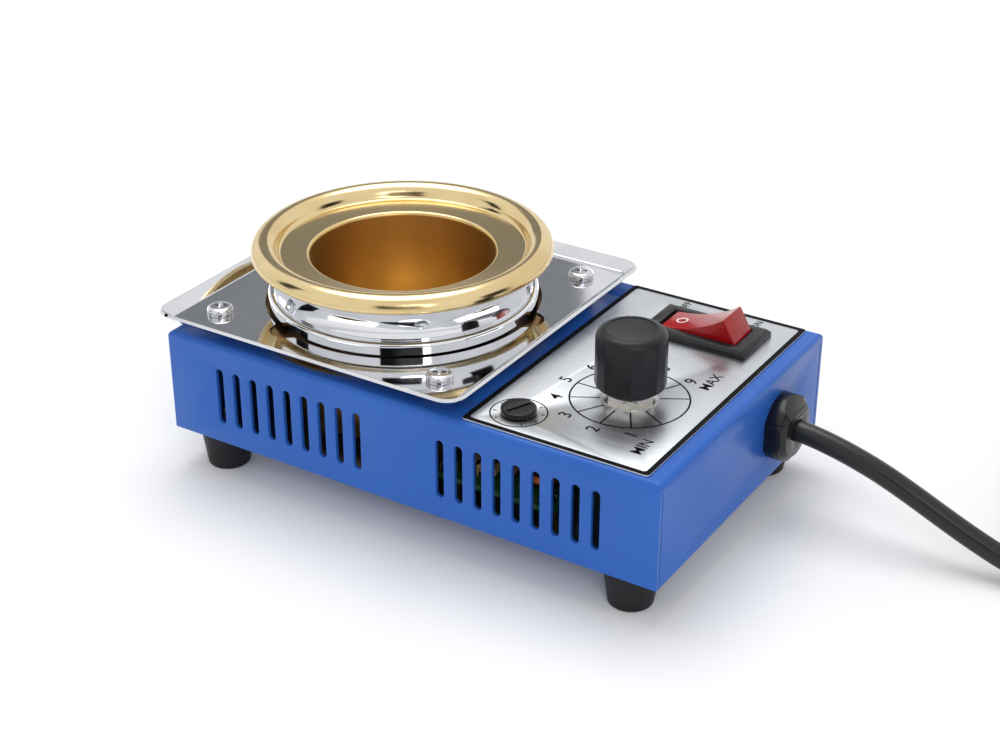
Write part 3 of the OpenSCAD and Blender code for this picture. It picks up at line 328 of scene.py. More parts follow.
def softened(name, width, *nodes, angle=30, segments=2):
    """One piece in place of CAD nodes: their merged shape with every hard edge rounded."""
    work = bmesh.new()
    for node in nodes:
        work.from_mesh(cad[node].data)
    bmesh.ops.remove_doubles(work, verts=work.verts, dist=2e-6)
    bmesh.ops.dissolve_limit(work, angle_limit=math.radians(0.5), verts=work.verts, edges=work.edges)
    mesh = bpy.data.meshes.new(name)
    work.to_mesh(mesh)
    work.free()
    mesh.materials.clear()
    piece = bpy.data.objects.new(name, mesh)
    bpy.context.collection.objects.link(piece)
    edge = piece.modifiers.new("edge", "BEVEL")
    edge.limit_method = "ANGLE"
    edge.angle_limit = math.radians(angle)
    edge.width = width * mm
    edge.segments = segments
    edge.use_clamp_overlap = True
    flatten(piece)
    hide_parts(*nodes)
    return smooth(piece, 40)


def flatten(piece):
    """Makes a piece's modifiers part of its mesh."""
    bpy.context.view_layer.update()
    made = bpy.data.meshes.new_from_object(piece.evaluated_get(bpy.context.evaluated_depsgraph_get()))
    piece.modifiers.clear()
    old, piece.data = piece.data, made
    made.name = piece.name
    bpy.data.meshes.remove(old)
    return piece


plug = softened("rubber_plug", 0.4, "mains_plug")
dress(cord_rubber, plug)
pin_brass = finish(
    "pin_brass", colour(214, 190, 128), colour(196, 168, 104), 0.22, 2500.0, 0.004, Metallic=1.0,
)
pins = softened("brass_pins", 0.25, "plug_pins")
dress(pin_brass, pins)
strap_nylon = finish("strap_nylon", colour(18, 18, 20), colour(30, 30, 33), 0.6, 3200.0, 0.05)
strap = softened("coil_strap", 0.15, "cord_tie")
dress(strap_nylon, strap)
for piece in (cord, plug, pins, strap):
    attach(piece, "pot")
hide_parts("power_cord", "cord_coil", "cord_tail")


# ---- Base plate and feet ----
# A zinc-plated steel plate closes the case from below. Four moulded rubber feet are screwed
# through it, each with a pan head screw from below and a nut on the plate.
zinc = finish("zinc_plate", colour(206, 208, 212), colour(178, 182, 190), 0.32, 420.0, 0.01, Metallic=1.0)
foot_rubber = finish(
    "foot_rubber", colour(18, 19, 21), colour(27, 28, 31), 0.5, 1800.0, 0.03, Specular_IOR_Level=0.3,
)
bright_steel = finish(
    "bright_steel", colour(214, 215, 218), colour(190, 191, 195), 0.2, 2200.0, 0.004, Metallic=1.0,
)
dress(zinc, "base_plate")
for corner in ("front_left", "front_right", "rear_left", "rear_right"):
    foot = softened(f"rubber_foot_{corner}", 0.3, f"foot_{corner}")
    dress(foot_rubber, foot)
    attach(foot, "pot")
dress(bright_steel, "foot_screws", "foot_nuts")


# ---- Circuit board and wiring ----
# A green laminate board on four brass standoffs holds the control circuit: a triac on its
# heat sink, a capacitor, a choke, resistors and the terminal block that the wires go to.
laminate = finish("board_laminate", colour(38, 104, 56), colour(28, 84, 44), 0.35, 2600.0, 0.02)
brass = finish("turned_brass", colour(206, 180, 112), colour(188, 158, 90), 0.25, 2400.0, 0.005, Metallic=1.0)
dark_moulding = finish("dark_moulding", colour(30, 31, 33), colour(42, 43, 46), 0.45, 2800.0, 0.01)
mill_aluminium = finish(
    "mill_aluminium", colour(208, 209, 212), colour(186, 188, 192), 0.34, 800.0, 0.01, Metallic=1.0,
)
capacitor_case = finish("capacitor_case", colour(216, 184, 46), colour(202, 168, 34), 0.3, 1400.0, 0.01)
copper_wire = finish(
    "copper_wire", colour(178, 104, 58), colour(150, 82, 44), 0.3, 3000.0, 0.05, Metallic=1.0,
)
resistor_lacquer = finish("resistor_lacquer", colour(204, 178, 130), colour(188, 160, 112), 0.4, 2600.0, 0.01)
block_nylon = finish("block_nylon", colour(52, 128, 78), colour(42, 110, 66), 0.42, 2000.0, 0.02)
glass_sleeve = finish("glass_sleeve", colour(226, 222, 208), colour(206, 200, 184), 0.8, 4200.0, 0.12)
core_jacket = finish("core_jacket", colour(106, 62, 38), colour(90, 52, 32), 0.42, 1500.0, 0.01)
for material, nodes in (
    (laminate, ["circuit_board"]),
    (brass, ["board_standoffs"]),
    (bright_steel, ["board_screws"]),
    (dark_moulding, ["triac"]),
    (mill_aluminium, ["heat_sink"]),
    (capacitor_case, ["capacitor"]),
    (copper_wire, ["choke"]),
    (resistor_lacquer, ["resistors"]),
    (block_nylon, ["terminal_block"]),
    (glass_sleeve, ["heater_leads"]),
    (core_jacket, ["switch_leads"]),
):
    dress(material, *nodes)


# ---- Case cover ----
# Folded sheet steel with vent slots punched in both long walls, in a satin blue powder coat
# that keeps a faint orange-peel skin.
blue_coat = finish(
    "blue_coat", colour(46, 102, 190), colour(42, 96, 184), 0.34, 420.0, 0.012,
    Specular_IOR_Level=0.22, Coat_Weight=0.05, Coat_Roughness=0.1,
)
cover = softened("blue_cover", 0.18, "case_cover")
dress(blue_coat, cover)
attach(cover, "pot")


# ---- Heater ----
# A tinted sheet steel shell is riveted under the case. In it lie mineral wool and a mica
# heater band, pulled round the crucible by a steel strap and its screw.
tinted_steel = finish(
    "heat_tinted_steel", colour(176, 140, 84), colour(120, 84, 52), 0.3, 260.0, 0.02, Metallic=1.0,
)
mica = finish("mica", colour(186, 172, 132), colour(160, 144, 104), 0.5, 900.0, 0.06)
mineral_wool = finish("mineral_wool", colour(232, 230, 220), colour(208, 204, 190), 0.9, 1600.0, 0.5)
dress(tinted_steel, "heater_shell")
dress(mica, "heater_band")
dress(mineral_wool, "insulation")
dress(bright_steel, "heater_strap", "strap_screw", "shell_rivets")


# ---- Collar ----
# A ring turned from steel and chromed: a flange with a rolled edge, a groove above it and a
# waist drawn in slightly. It stands on the shell's flange and carries the crucible's rim.
def eased(corners, closed=False, steps=6, guard=0.04):
    """A line through corners (across, up, radius), each rounded to its radius, with a point
    just beyond each arc so that flat stretches shade flat."""
    line = []
    for i, (x, y, r) in enumerate(corners):
        p = Vector((x, y))
        if r == 0 or (not closed and i in (0, len(corners) - 1)):
            line.append(p)
            continue
        before, after = Vector(corners[i - 1][:2]) - p, Vector(corners[(i + 1) % len(corners)][:2]) - p
        u, v = before.normalized(), after.normalized()
        half = u.angle(v) / 2
        reach = min(r / math.tan(half), 0.48 * before.length, 0.48 * after.length)
        r = reach * math.tan(half)
        middle = p + (u + v).normalized() * (r / math.sin(half))
        a, b = p + u * reach - middle, p + v * reach - middle
        swing = a.angle_signed(b)
        line.append(p + u * (reach + guard))
        for k in range(steps + 1):
            c, s = math.cos(-swing * k / steps), math.sin(-swing * k / steps)
            line.append(middle + Vector((a.x * c - a.y * s, a.x * s + a.y * c)))
        line.append(p + v * (reach + guard))
    return line


def turned(name, line, centre, steps, closed=False):
    """A shape turned round an upright axis from its outline of (radius, height) in millimetres."""
    points, rings, faces = [], [], []
    for r, z in line:
        if r < 1e-6:
            rings.append([len(points)])
            points.append((centre.x, centre.y, z * mm))
            continue
        rings.append(list(range(len(points), len(points) + steps)))
        for k in range(steps):
            a = 2 * math.pi * k / steps
            points.append((centre.x + r * mm * math.cos(a), centre.y + r * mm * math.sin(a), z * mm))
    for one, two in zip(rings, rings[1:] + ([rings[0]] if closed else [])):
        for k in range(steps):
            quad = [one[k % len(one)], one[(k + 1) % len(one)], two[(k + 1) % len(two)], two[k % len(two)]]
            faces.append(tuple(dict.fromkeys(quad)))
    return smooth(outward(mesh_piece(name, points, faces)), 32)


# The marks of turning: fine rings round the axis, uneven from ring to ring
turning_marks, given, put = effect("turning_marks", "Rings", 2000.0)
xyz = add(turning_marks, "ShaderNodeSeparateXYZ", {0: given.outputs[0]})
flat = add(turning_marks, "ShaderNodeCombineXYZ", {0: xyz.outputs[0], 1: xyz.outputs[1]})
radius = add(turning_marks, "ShaderNodeVectorMath", {0: flat.outputs[0]}, operation="LENGTH")
reach = add(turning_marks, "ShaderNodeMath", {0: radius.outputs["Value"], 1: xyz.outputs[2]}, operation="ADD")
rings = add(
    turning_marks, "ShaderNodeTexNoise", {"W": reach.outputs[0], "Scale": given.outputs[1], "Detail": 2.0},
    noise_dimensions="1D",
)
stain = add(turning_marks, "ShaderNodeTexNoise", {"Vector": given.outputs[0], "Scale": 38.0, "Detail": 3.0})
drift = add(turning_marks, "ShaderNodeMapRange", {0: stain.outputs[0], 1: 0.35, 2: 0.65})
turning_marks.links.new(rings.outputs[0], put.inputs["Height"])
turning_marks.links.new(drift.outputs[0], put.inputs["Drift"])


def middle_of(node):
    """The middle of a CAD node's box."""
    low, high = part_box(node)
    return (low + high) / 2


axis = middle_of("crucible")
to_axis = (-axis.x, -axis.y, 0)
collar_chrome = finish(
    "collar_chrome", colour(228, 229, 232), colour(220, 222, 226), 0.05, 1200.0, 0.0015,
    group=turning_marks, centre=to_axis, Metallic=1.0,
)
low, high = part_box("heater_collar")
bottom, top = low.z / mm, high.z / mm
flange_r = (high.x - low.x) / 2 / mm
flange_w, flange_h = 1.8, 6.7
wall_t = 2.2
groove_h, groove_in = 0.9, 0.45
waist_in, band_h = 0.7, 0.7
wall_r = flange_r - flange_w
bore_r = wall_r - wall_t
flange_top = bottom + flange_h
waist_bottom = flange_top + groove_h
waist = [
    (wall_r - waist_in * math.sin(math.pi * k / 16), waist_bottom + (top - band_h - waist_bottom) * k / 16)
    for k in range(17)
]
collar_line = eased(
    [
        (bore_r, bottom, 0.2), (flange_r, bottom, 0.35), (flange_r, flange_top, 1.3),
        (wall_r - groove_in, flange_top, 0.15), (wall_r - groove_in, waist_bottom - 0.35, 0.12),
    ]
    + [(r, z, 0) for r, z in waist]
    + [(wall_r, top, 0.3), (bore_r, top, 0.3)],
    closed=True,
)
collar = turned("chromed_collar", collar_line, axis, 192, closed=True)
dress(collar_chrome, collar)
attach(collar, "pot")
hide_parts("heater_collar")


# ---- Crucible ----
# Drawn and turned steel with a gold-coloured heat-proof finish: a bath with a rounded floor,
# a shallow dish and a rolled rim that hangs over the collar. It rests in the collar.
gold_rim = finish(
    "gold_rim", colour(228, 206, 158), colour(212, 186, 134), 0.17, 900.0, 0.006,
    group=turning_marks, centre=to_axis, Metallic=1.0,
)
# The bath's gold is darker and deeper than the rim's. That is painted shade for the hollow and the underside.
# It lies on a real satin finish, rougher than the polished rim.
gold_bath = finish(
    "gold_bath", colour(222, 192, 132), colour(204, 170, 108), 0.32, 700.0, 0.015,
    group=turning_marks, centre=to_axis, Metallic=1.0,
)
low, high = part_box("crucible")
bead_r = 3.87
wall = 1.3
rim_r = (high.x - low.x) / 2 / mm
bead_x = rim_r - bead_r
rim_z = high.z / mm - bead_r
dish_drop = 0.9
bath_r, bath_depth = 25.0, 38
mouth_out, draw_out = 2.0, 1.4
dish_z = rim_z - dish_drop
mouth_r = bath_r + mouth_out
outside_r = bath_r + draw_out + wall
under_z = dish_z - wall
floor_z = dish_z - bath_depth


def bead(r, angle):
    """A point of the rolled rim, at that distance and angle from the middle of its roll."""
    return (bead_x + r * math.cos(math.radians(angle)), rim_z + r * math.sin(math.radians(angle)), 0)


# The raw edge of the sheet is rounded: its middle and half its width as turns round the roll
half_wall = wall / 2
edge_at, edge_reach = 1.6, 9 * wall
rim_edge = [
    bead(bead_r - half_wall + half_wall * math.cos(a), edge_at - edge_reach * math.sin(a))
    for a in (math.radians(30 * k) for k in (5, 4, 3, 2, 1))
]
crucible_line = eased(
    [
        (0, floor_z - 2, 0), (outside_r, floor_z - 2, 6), (outside_r, under_z, 0.6),
        (bead_x - bead_r - 0.4, under_z, 0.5),
    ]
    + [bead(bead_r - wall, 180 - 180 * k / 16) for k in range(17)]
    + rim_edge
    + [bead(bead_r, 168 * k / 28) for k in range(29)]
    + [
        (bead_x - bead_r - 0.5, rim_z - 0.05, 1.0), (mouth_r, dish_z, 1.1), (bath_r, floor_z, 6.0),
        (0, floor_z, 0),
    ],
    steps=8,
)
crucible = turned("gold_crucible", crucible_line, axis, 192)
crucible.data.materials.append(gold_rim)
crucible.data.materials.append(gold_bath)
shoulder_w = 0.4
# Faces inside the mouth and under the dish take the darker gold of painted shade.
for face in crucible.data.polygons:
    away = math.hypot(face.center.x - axis.x, face.center.y - axis.y) / mm
    face.material_index = 1 if away < mouth_r + shoulder_w or face.center.z < under_z * mm else 0
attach(crucible, "pot")
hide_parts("crucible")


# ---- Deck plate ----
# Polished stainless sheet, its four edges pressed up to a lip round the corners. A hole with
# three rounded notches clears the collar. Four screws hold it off the case on nuts.
scratches, given, put = effect("polishing_scratches", "Scale", 160.0)
lines = []
for turn in (0.35, 1.25, 2.4):
    swung = add(
        scratches, "ShaderNodeMapping",
        {0: given.outputs[0], "Rotation": (0, 0, turn), "Scale": (0.05, 1.0, 0.3)},
    )
    hair = add(
        scratches, "ShaderNodeTexNoise",
        {"Vector": swung.outputs[0], "Scale": given.outputs[1], "Detail": 5.0},
    )
    lines.append(add(scratches, "ShaderNodeMapRange", {0: hair.outputs[0], 1: 0.62, 2: 0.72}).outputs[0])
both = add(scratches, "ShaderNodeMath", {0: lines[0], 1: lines[1]}, operation="ADD")
every = add(scratches, "ShaderNodeMath", {0: both.outputs[0], 1: lines[2]}, operation="ADD", use_clamp=True)
smear = add(scratches, "ShaderNodeTexNoise", {"Vector": given.outputs[0], "Scale": 45.0, "Detail": 3.0})
drift = add(scratches, "ShaderNodeMapRange", {0: smear.outputs[0], 1: 0.4, 2: 0.65})
scratches.links.new(every.outputs[0], put.inputs["Height"])
scratches.links.new(drift.outputs[0], put.inputs["Drift"])
mirror_steel = finish(
    "polished_stainless", colour(222, 223, 226), colour(208, 210, 214), 0.07, 620.0, 0.0012,
    group=scratches, Metallic=1.0,
)

low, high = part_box("deck_plate")
plate_z = low.z / mm
plate_t = 1.0
fold = 48.2
fold_r = 2.4
lip_w = 4.8
lip_turn = math.radians(40)
bend_out = 1.8
collar_hole_r = flange_r + 0.9
notch_r, notch_reach = 5.2, 3.9
notch_angles = (-112, 8, 128)
screw_pitch = 76.0
screw_hole_r = 2.2
bend_x = fold - bend_out * math.tan(lip_turn / 2)


def lip_line(r, drop):
    """Across and up along one face of the lip, from the flat plate round the bend to the edge."""
    line = [(bend_x - 0.06, drop)]
    for k in range(9):
        a = lip_turn * k / 8
        line.append((bend_x + r * math.sin(a), drop + r * (1 - math.cos(a))))
    run = lip_w - bend_out * math.tan(lip_turn / 2)
    x, z = line[-1]
    c, s = math.cos(lip_turn), math.sin(lip_turn)
    return line + [(x + d * c, z + d * s) for d in (0.06, run - 0.16, run - 0.1)], (x + run * c, z + run * s)


under_line, under_edge = lip_line(bend_out, 0)
over_line, over_edge = lip_line(bend_out - plate_t, plate_t)
ease = 0.1
nx, nz = -math.sin(lip_turn), math.cos(lip_turn)
edge_line = [
    (under_edge[0] + ease * nx, under_edge[1] + ease * nz),
    (over_edge[0] - ease * nx, over_edge[1] - ease * nz),
]
section = under_line + edge_line + over_line[::-1]


def square_ring(x, z, per_corner=10):
    """The points of a square with round corners, at that distance from the middle."""
    r = max(fold_r + x - fold, 0.3)
    ring = []
    for quarter in range(4):
        for k in range(per_corner + 1):
            a = math.pi / 2 * (quarter + k / per_corner)
            cx = (x - r) * (1 if quarter in (0, 3) else -1)
            cy = (x - r) * (1 if quarter in (0, 1) else -1)
            ring.append(Vector((axis.x + (cx + r * math.cos(a)) * mm, (cy + r * math.sin(a)) * mm, z * mm)))
    return ring


def collar_hole_ring(z):
    """The hole for the collar with its three notches."""
    ring = []
    for k in range(360):
        a = math.radians(k)
        r = collar_hole_r
        for notch in notch_angles:
            swing = a - math.radians(notch)
            swing = math.atan2(math.sin(swing), math.cos(swing))
            out = collar_hole_r + notch_reach - notch_r
            under = notch_r**2 - (out * math.sin(swing)) ** 2
            if under > 0 and math.cos(swing) > 0:
                r = max(r, out * math.cos(swing) + math.sqrt(under))
        ring.append(Vector((axis.x + r * mm * math.cos(a), r * mm * math.sin(a), z * mm)))
    return ring


def screw_hole_ring(x, y, z):
    """The hole for the deck screw there."""
    return [
        Vector((
            axis.x + (x + screw_hole_r * math.cos(a)) * mm, (y + screw_hole_r * math.sin(a)) * mm, z * mm,
        ))
        for a in (2 * math.pi * k / 32 for k in range(32))
    ]


work = bmesh.new()


def ring_edges(points):
    """A closed ring of vertices and edges through the points."""
    verts = [work.verts.new(p) for p in points]
    return verts, [work.edges.new((a, b)) for a, b in zip(verts, verts[1:] + verts[:1])]


def wall_between(one, two):
    """A band of faces between two rings of vertices."""
    for k in range(len(one)):
        n = (k + 1) % len(one)
        work.faces.new((one[k], one[n], two[n], two[k]))


rings = [ring_edges(square_ring(x, plate_z + z)) for x, z in section]
for (one, _), (two, _) in zip(rings, rings[1:]):
    wall_between(one, two)
half = screw_pitch / 2
holes = [collar_hole_ring] + [
    lambda z, x=x, y=y: screw_hole_ring(x, y, z) for x in (-half, half) for y in (-half, half)
]
below = [ring_edges(hole(plate_z)) for hole in holes]
above = [ring_edges(hole(plate_z + plate_t)) for hole in holes]
for (one, _), (two, _) in zip(below, above):
    wall_between(one, two)
for outer, inner in ((rings[0], below), (rings[-1], above)):
    loops = outer[1] + [e for _, edges in inner for e in edges]
    bmesh.ops.triangle_fill(work, use_beauty=True, use_dissolve=False, edges=loops)
bmesh.ops.recalc_face_normals(work, faces=work.faces)
deck = mesh_piece("polished_deck_plate", [], [])
work.to_mesh(deck.data)
work.free()
smooth(deck, 24)
dress(mirror_steel, deck)
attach(deck, "pot")
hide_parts("deck_plate")
dress(bright_steel, "deck_spacers", "deck_nuts")


# ---- Deck screws ----
# Four bright pan head screws with a cross recess, each turned to where it came tight.
def carved(piece, *cutters):
    """Cuts the other pieces out of a piece and deletes them."""
    for cutter in cutters:
        cut = piece.modifiers.new("cut", "BOOLEAN")
        cut.operation = "DIFFERENCE"
        cut.solver = "EXACT"
        cut.object = cutter
        flatten(piece)
        bpy.data.objects.remove(cutter)
    return piece


def recess_bar(turn, half_length, half_width, bottom, top):
    """One tapered bar of a cross recess."""
    c, s = math.cos(turn), math.sin(turn)
    points = []
    for z, share in ((bottom, 0.45), (top, 1.0)):
        for x, y in ((-1, -1), (1, -1), (1, 1), (-1, 1)):
            a, b = x * half_length * share, y * half_width * (0.6 + 0.4 * share)
            points.append(((a * c - b * s) * mm, (a * s + b * c) * mm, z * mm))
    sides = [(0, 1, 5, 4), (1, 2, 6, 5), (2, 3, 7, 6), (3, 0, 4, 7), (3, 2, 1, 0), (4, 5, 6, 7)]
    return outward(mesh_piece("recess", points, sides))


head_r, head_h, shank_r, shank_l = 3.8, 2.4, 2.0, 9.0
screw_line = eased(
    [
        (0, -shank_l, 0), (shank_r, -shank_l, 0.4), (shank_r, -0.02, 0), (head_r, 0, 0.25),
        (head_r, head_h * 0.55, 0),
    ]
    + [
        (head_r - 1.5 + 1.5 * math.cos(a), head_h * 0.5 + (head_h * 0.5 - 0.12) * math.sin(a), 0)
        for a in (math.radians(10 * k) for k in range(1, 9))
    ]
    + [(head_r - 1.6, head_h - 0.1, 0), (0, head_h, 0)],
)
screw = turned("screw_pattern", screw_line, Vector((0, 0, 0)), 48)
bar_l, bar_w, recess_depth, over = 2.3, 0.5, 1.4, 0.6
recess = [recess_bar(turn, bar_l, bar_w, head_h - recess_depth, head_h + over) for turn in (0, math.pi / 2)]
carved(screw, *recess)
smooth(screw, 30)


def tree_with(name, inputs):
    """An empty Geometry Nodes tree with those named inputs."""
    tree = bpy.data.node_groups.new(name, "GeometryNodeTree")
    for key, kind in inputs:
        tree.interface.new_socket(key, in_out="INPUT", socket_type="NodeSocket" + kind)
    tree.interface.new_socket("Geometry", in_out="OUTPUT", socket_type="NodeSocketGeometry")
    return tree, tree.nodes.new("NodeGroupInput"), tree.nodes.new("NodeGroupOutput")


def grown(name, tree, **values):
    """The plain mesh that a tree makes from those values."""
    piece = mesh_piece(name, [], [])
    growth = piece.modifiers.new("growth", "NODES")
    growth.node_group = tree
    for item in tree.interface.items_tree:
        if item.in_out == "INPUT":
            growth[item.identifier] = values[item.name.replace(" ", "_")]
    flatten(piece)
    return piece


# Copies of a part on a rectangular grid of points, each turned by chance about its own axis
on_grid, given, put = tree_with(
    "on_grid", [
        ("Part", "Object"), ("Across", "Float"), ("Along", "Float"), ("Middle", "Vector"), ("Seed", "Int"),
        ("Finish", "Material"),
    ]
)
grid = add(
    on_grid, "GeometryNodeMeshGrid",
    {"Size X": given.outputs["Across"], "Size Y": given.outputs["Along"], "Vertices X": 2, "Vertices Y": 2},
)
part = add(on_grid, "GeometryNodeObjectInfo", {0: given.outputs["Part"]})
chance = add(
    on_grid, "FunctionNodeRandomValue", {"Max": (0.0, 0.0, 3.1), "Seed": given.outputs["Seed"]},
    data_type="FLOAT_VECTOR",
)
placed = add(
    on_grid, "GeometryNodeInstanceOnPoints",
    {"Points": grid.outputs[0], "Instance": part.outputs["Geometry"], "Rotation": chance.outputs[0]},
)
real = add(on_grid, "GeometryNodeRealizeInstances", {0: placed.outputs[0]})
moved = add(on_grid, "GeometryNodeTransform", {0: real.outputs[0], "Translation": given.outputs["Middle"]})
painted = add(on_grid, "GeometryNodeSetMaterial", {0: moved.outputs[0], "Material": given.outputs["Finish"]})
on_grid.links.new(painted.outputs[0], put.inputs[0])

deck_screws = grown(
    "deck_plate_screws", on_grid, Part=screw, Across=screw_pitch * mm, Along=screw_pitch * mm,
    Middle=(axis.x, axis.y, (plate_z + plate_t) * mm), Seed=4, Finish=bright_steel,
)
bpy.data.objects.remove(screw)
smooth(deck_screws, 30)
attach(deck_screws, "pot")
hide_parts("deck_screws")


# ---- Control panel ----
# A thin aluminium plate, brushed along the case and glued to it, with a printed border, dial,
# numbers and switch marks in black.
brushed, given, put = effect("brushed_lines", "Lines", 3000.0)
drawn = add(brushed, "ShaderNodeMapping", {0: given.outputs[0], "Scale": (0.015, 1.0, 1.0)})
hair = add(
    brushed, "ShaderNodeTexNoise", {"Vector": drawn.outputs[0], "Scale": given.outputs[1], "Detail": 4.0},
)
cloud = add(brushed, "ShaderNodeTexNoise", {"Vector": drawn.outputs[0], "Scale": 500.0, "Detail": 3.0})
drift = add(brushed, "ShaderNodeMapRange", {0: cloud.outputs[0], 1: 0.3, 2: 0.7})
brushed.links.new(hair.outputs[0], put.inputs["Height"])
brushed.links.new(drift.outputs[0], put.inputs["Drift"])
panel_aluminium = finish(
    "brushed_aluminium", colour(204, 207, 211), colour(196, 199, 204), 0.32, 3000.0, 0.005,
    group=brushed, Metallic=1.0,
)
ink = finish("black_ink", colour(9, 9, 10), colour(17, 17, 19), 0.6, 3600.0, 0.004, Specular_IOR_Level=0.08)
panel = softened("aluminium_panel", 0.08, "control_panel")
dress(panel_aluminium, panel)
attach(panel, "pot")

low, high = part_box("control_panel")
face_z = high.z
ink_t = 0.02 * mm
border_out, border_in = 0.05 * mm, 1.6 * mm
border_out_r, border_in_r = 1.0 * mm, 0.9 * mm
prints = []


def printed(body, x, y, height):
    """Lettering to be read from the controls' end, its middle there, as a thin closed mesh."""
    text = bpy.data.curves.new(f"print_{body}", "FONT")
    text.body = body
    text.align_x, text.align_y = "CENTER", "CENTER"
    text.size = height * mm / 0.69
    text.offset = 0.012 * height * mm
    text.extrude = ink_t / 2
    holder = bpy.data.objects.new(f"print_{body}", text)
    bpy.context.collection.objects.link(holder)
    bpy.context.view_layer.update()
    mesh = bpy.data.meshes.new_from_object(holder.evaluated_get(bpy.context.evaluated_depsgraph_get()))
    bpy.data.objects.remove(holder)
    mesh.transform(Matrix.Translation((x, y, face_z + ink_t / 2)) @ Matrix.Rotation(math.pi / 2, 4, "Z"))
    prints.append(mesh)


def printed_band(outer, inner):
    """A thin closed band between two rings of points with the same count."""
    n = len(outer)
    points = [Vector((p.x, p.y, face_z + h)) for h in (0, ink_t) for ring in (outer, inner) for p in ring]
    faces = []
    for k in range(n):
        m = (k + 1) % n
        faces += [(k, m, n + m, n + k), (2 * n + k, 3 * n + k, 3 * n + m, 2 * n + m)]
        faces += [(k, 2 * n + k, 2 * n + m, m), (n + k, n + m, 3 * n + m, 3 * n + k)]
    band = mesh_piece("band", points, faces)
    prints.append(outward(band).data.copy())
    bpy.data.objects.remove(band)


def box_ring(inset, r):
    """The panel's outline, that far in from its edges, with round corners."""
    ring = []
    for quarter in range(4):
        for k in range(7):
            a = math.pi / 2 * (quarter + k / 6)
            x = high.x - inset - r if quarter in (0, 3) else low.x + inset + r
            y = high.y - inset - r if quarter in (0, 1) else low.y + inset + r
            ring.append(Vector((x + r * math.cos(a), y + r * math.sin(a), 0)))
    return ring


def round_ring(centre, r, steps=128):
    """A circle of points round a centre."""
    return [
        Vector((
            centre.x + r * mm * math.cos(2 * math.pi * k / steps),
            centre.y + r * mm * math.sin(2 * math.pi * k / steps), 0,
        ))
        for k in range(steps)
    ]


printed_band(box_ring(border_out, border_out_r), box_ring(border_in, border_in_r))
dial = middle_of("potentiometer_nut")
dial_r, line_half = 16.2, 0.25
hub_r, spoke_w = 8.0, 0.46
number_h, word_h, small_word_h = 3.6, 3.1, 2.2
number_out, first_number, number_turn = 3.5, -60, 30
printed_band(round_ring(dial, dial_r + line_half), round_ring(dial, dial_r - line_half))
for step, number in enumerate("123456789"):
    a = math.radians(first_number - number_turn * step)
    reach = (dial_r + number_out) * mm
    printed(number, dial.x + reach * math.cos(a), dial.y + reach * math.sin(a), number_h)
printed("MIN", dial.x + 15.3 * mm, dial.y - 21.0 * mm, word_h)
printed("MAX", dial.x + 14.6 * mm, dial.y + 19.5 * mm, word_h)
switch_at = middle_of("switch_housing")
printed("OFF", switch_at.x - 13.0 * mm, switch_at.y + 13.2 * mm, small_word_h)
printed("ON", switch_at.x + 10.2 * mm, switch_at.y + 13.2 * mm, small_word_h)
trimmer_at = middle_of("trimmer_rotor")
ring_out, ring_in = 7.85, 7.45
tick_out, tick_in, tick_w = 7.0, 6.0, 0.4
printed_band(round_ring(trimmer_at, ring_out), round_ring(trimmer_at, ring_in))

# Bars round a circle, one every turn of Step from First, pointing outwards
round_bars, given, put = tree_with(
    "round_bars", [
        ("Count", "Int"), ("First", "Float"), ("Step", "Float"), ("Radius", "Float"), ("Length", "Float"),
        ("Width", "Float"), ("Depth", "Float"), ("Middle", "Vector"), ("Finish", "Material"),
    ]
)
size = add(
    round_bars, "ShaderNodeCombineXYZ",
    {0: given.outputs["Length"], 1: given.outputs["Width"], 2: given.outputs["Depth"]},
)
bar = add(round_bars, "GeometryNodeMeshCube", {"Size": size.outputs[0]})
spots = add(round_bars, "GeometryNodeMeshLine", {"Count": given.outputs["Count"], "Offset": (0.0, 0.0, 0.0)})
index = add(round_bars, "GeometryNodeInputIndex")
swing = add(
    round_bars, "ShaderNodeMath",
    {0: index.outputs[0], 1: given.outputs["Step"], 2: given.outputs["First"]}, operation="MULTIPLY_ADD",
)
cosine = add(round_bars, "ShaderNodeMath", {0: swing.outputs[0]}, operation="COSINE")
sine = add(round_bars, "ShaderNodeMath", {0: swing.outputs[0]}, operation="SINE")
aim = add(round_bars, "ShaderNodeCombineXYZ", {0: cosine.outputs[0], 1: sine.outputs[0]})
spot = add(
    round_bars, "ShaderNodeVectorMath", {0: aim.outputs[0], "Scale": given.outputs["Radius"]},
    operation="SCALE",
)
put_out = add(
    round_bars, "GeometryNodeSetPosition", {"Geometry": spots.outputs[0], "Position": spot.outputs[0]},
)
turned_to = add(round_bars, "ShaderNodeCombineXYZ", {2: swing.outputs[0]})
placed = add(
    round_bars, "GeometryNodeInstanceOnPoints",
    {"Points": put_out.outputs[0], "Instance": bar.outputs[0], "Rotation": turned_to.outputs[0]},
)
real = add(round_bars, "GeometryNodeRealizeInstances", {0: placed.outputs[0]})
moved = add(round_bars, "GeometryNodeTransform", {0: real.outputs[0], "Translation": given.outputs["Middle"]})
painted = add(
    round_bars, "GeometryNodeSetMaterial", {0: moved.outputs[0], "Material": given.outputs["Finish"]},
)
round_bars.links.new(painted.outputs[0], put.inputs[0])


def bars(name, centre, count, first, step, inner, outer, width):
    """Printed bars from one radius to another round a centre, in millimetres and degrees."""
    piece = grown(
        name, round_bars, Count=count, First=math.radians(first), Step=math.radians(step),
        Radius=(inner + outer) / 2 * mm, Length=(outer - inner) * mm, Width=width * mm, Depth=ink_t,
        Middle=(centre.x, centre.y, face_z + ink_t / 2), Finish=ink,
    )
    prints.append(piece.data.copy())
    bpy.data.objects.remove(piece)


bars("dial_spokes", dial, 11, 30, number_turn, hub_r, dial_r, spoke_w)
bars("trimmer_ticks", trimmer_at, 9, -52, 36, tick_in, tick_out, tick_w)

work = bmesh.new()
for mesh in prints:
    work.from_mesh(mesh)
panel_print = mesh_piece("panel_print", [], [])
work.to_mesh(panel_print.data)
work.free()
panel_print.data.materials.clear()
dress(ink, panel_print)
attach(panel_print, "pot")


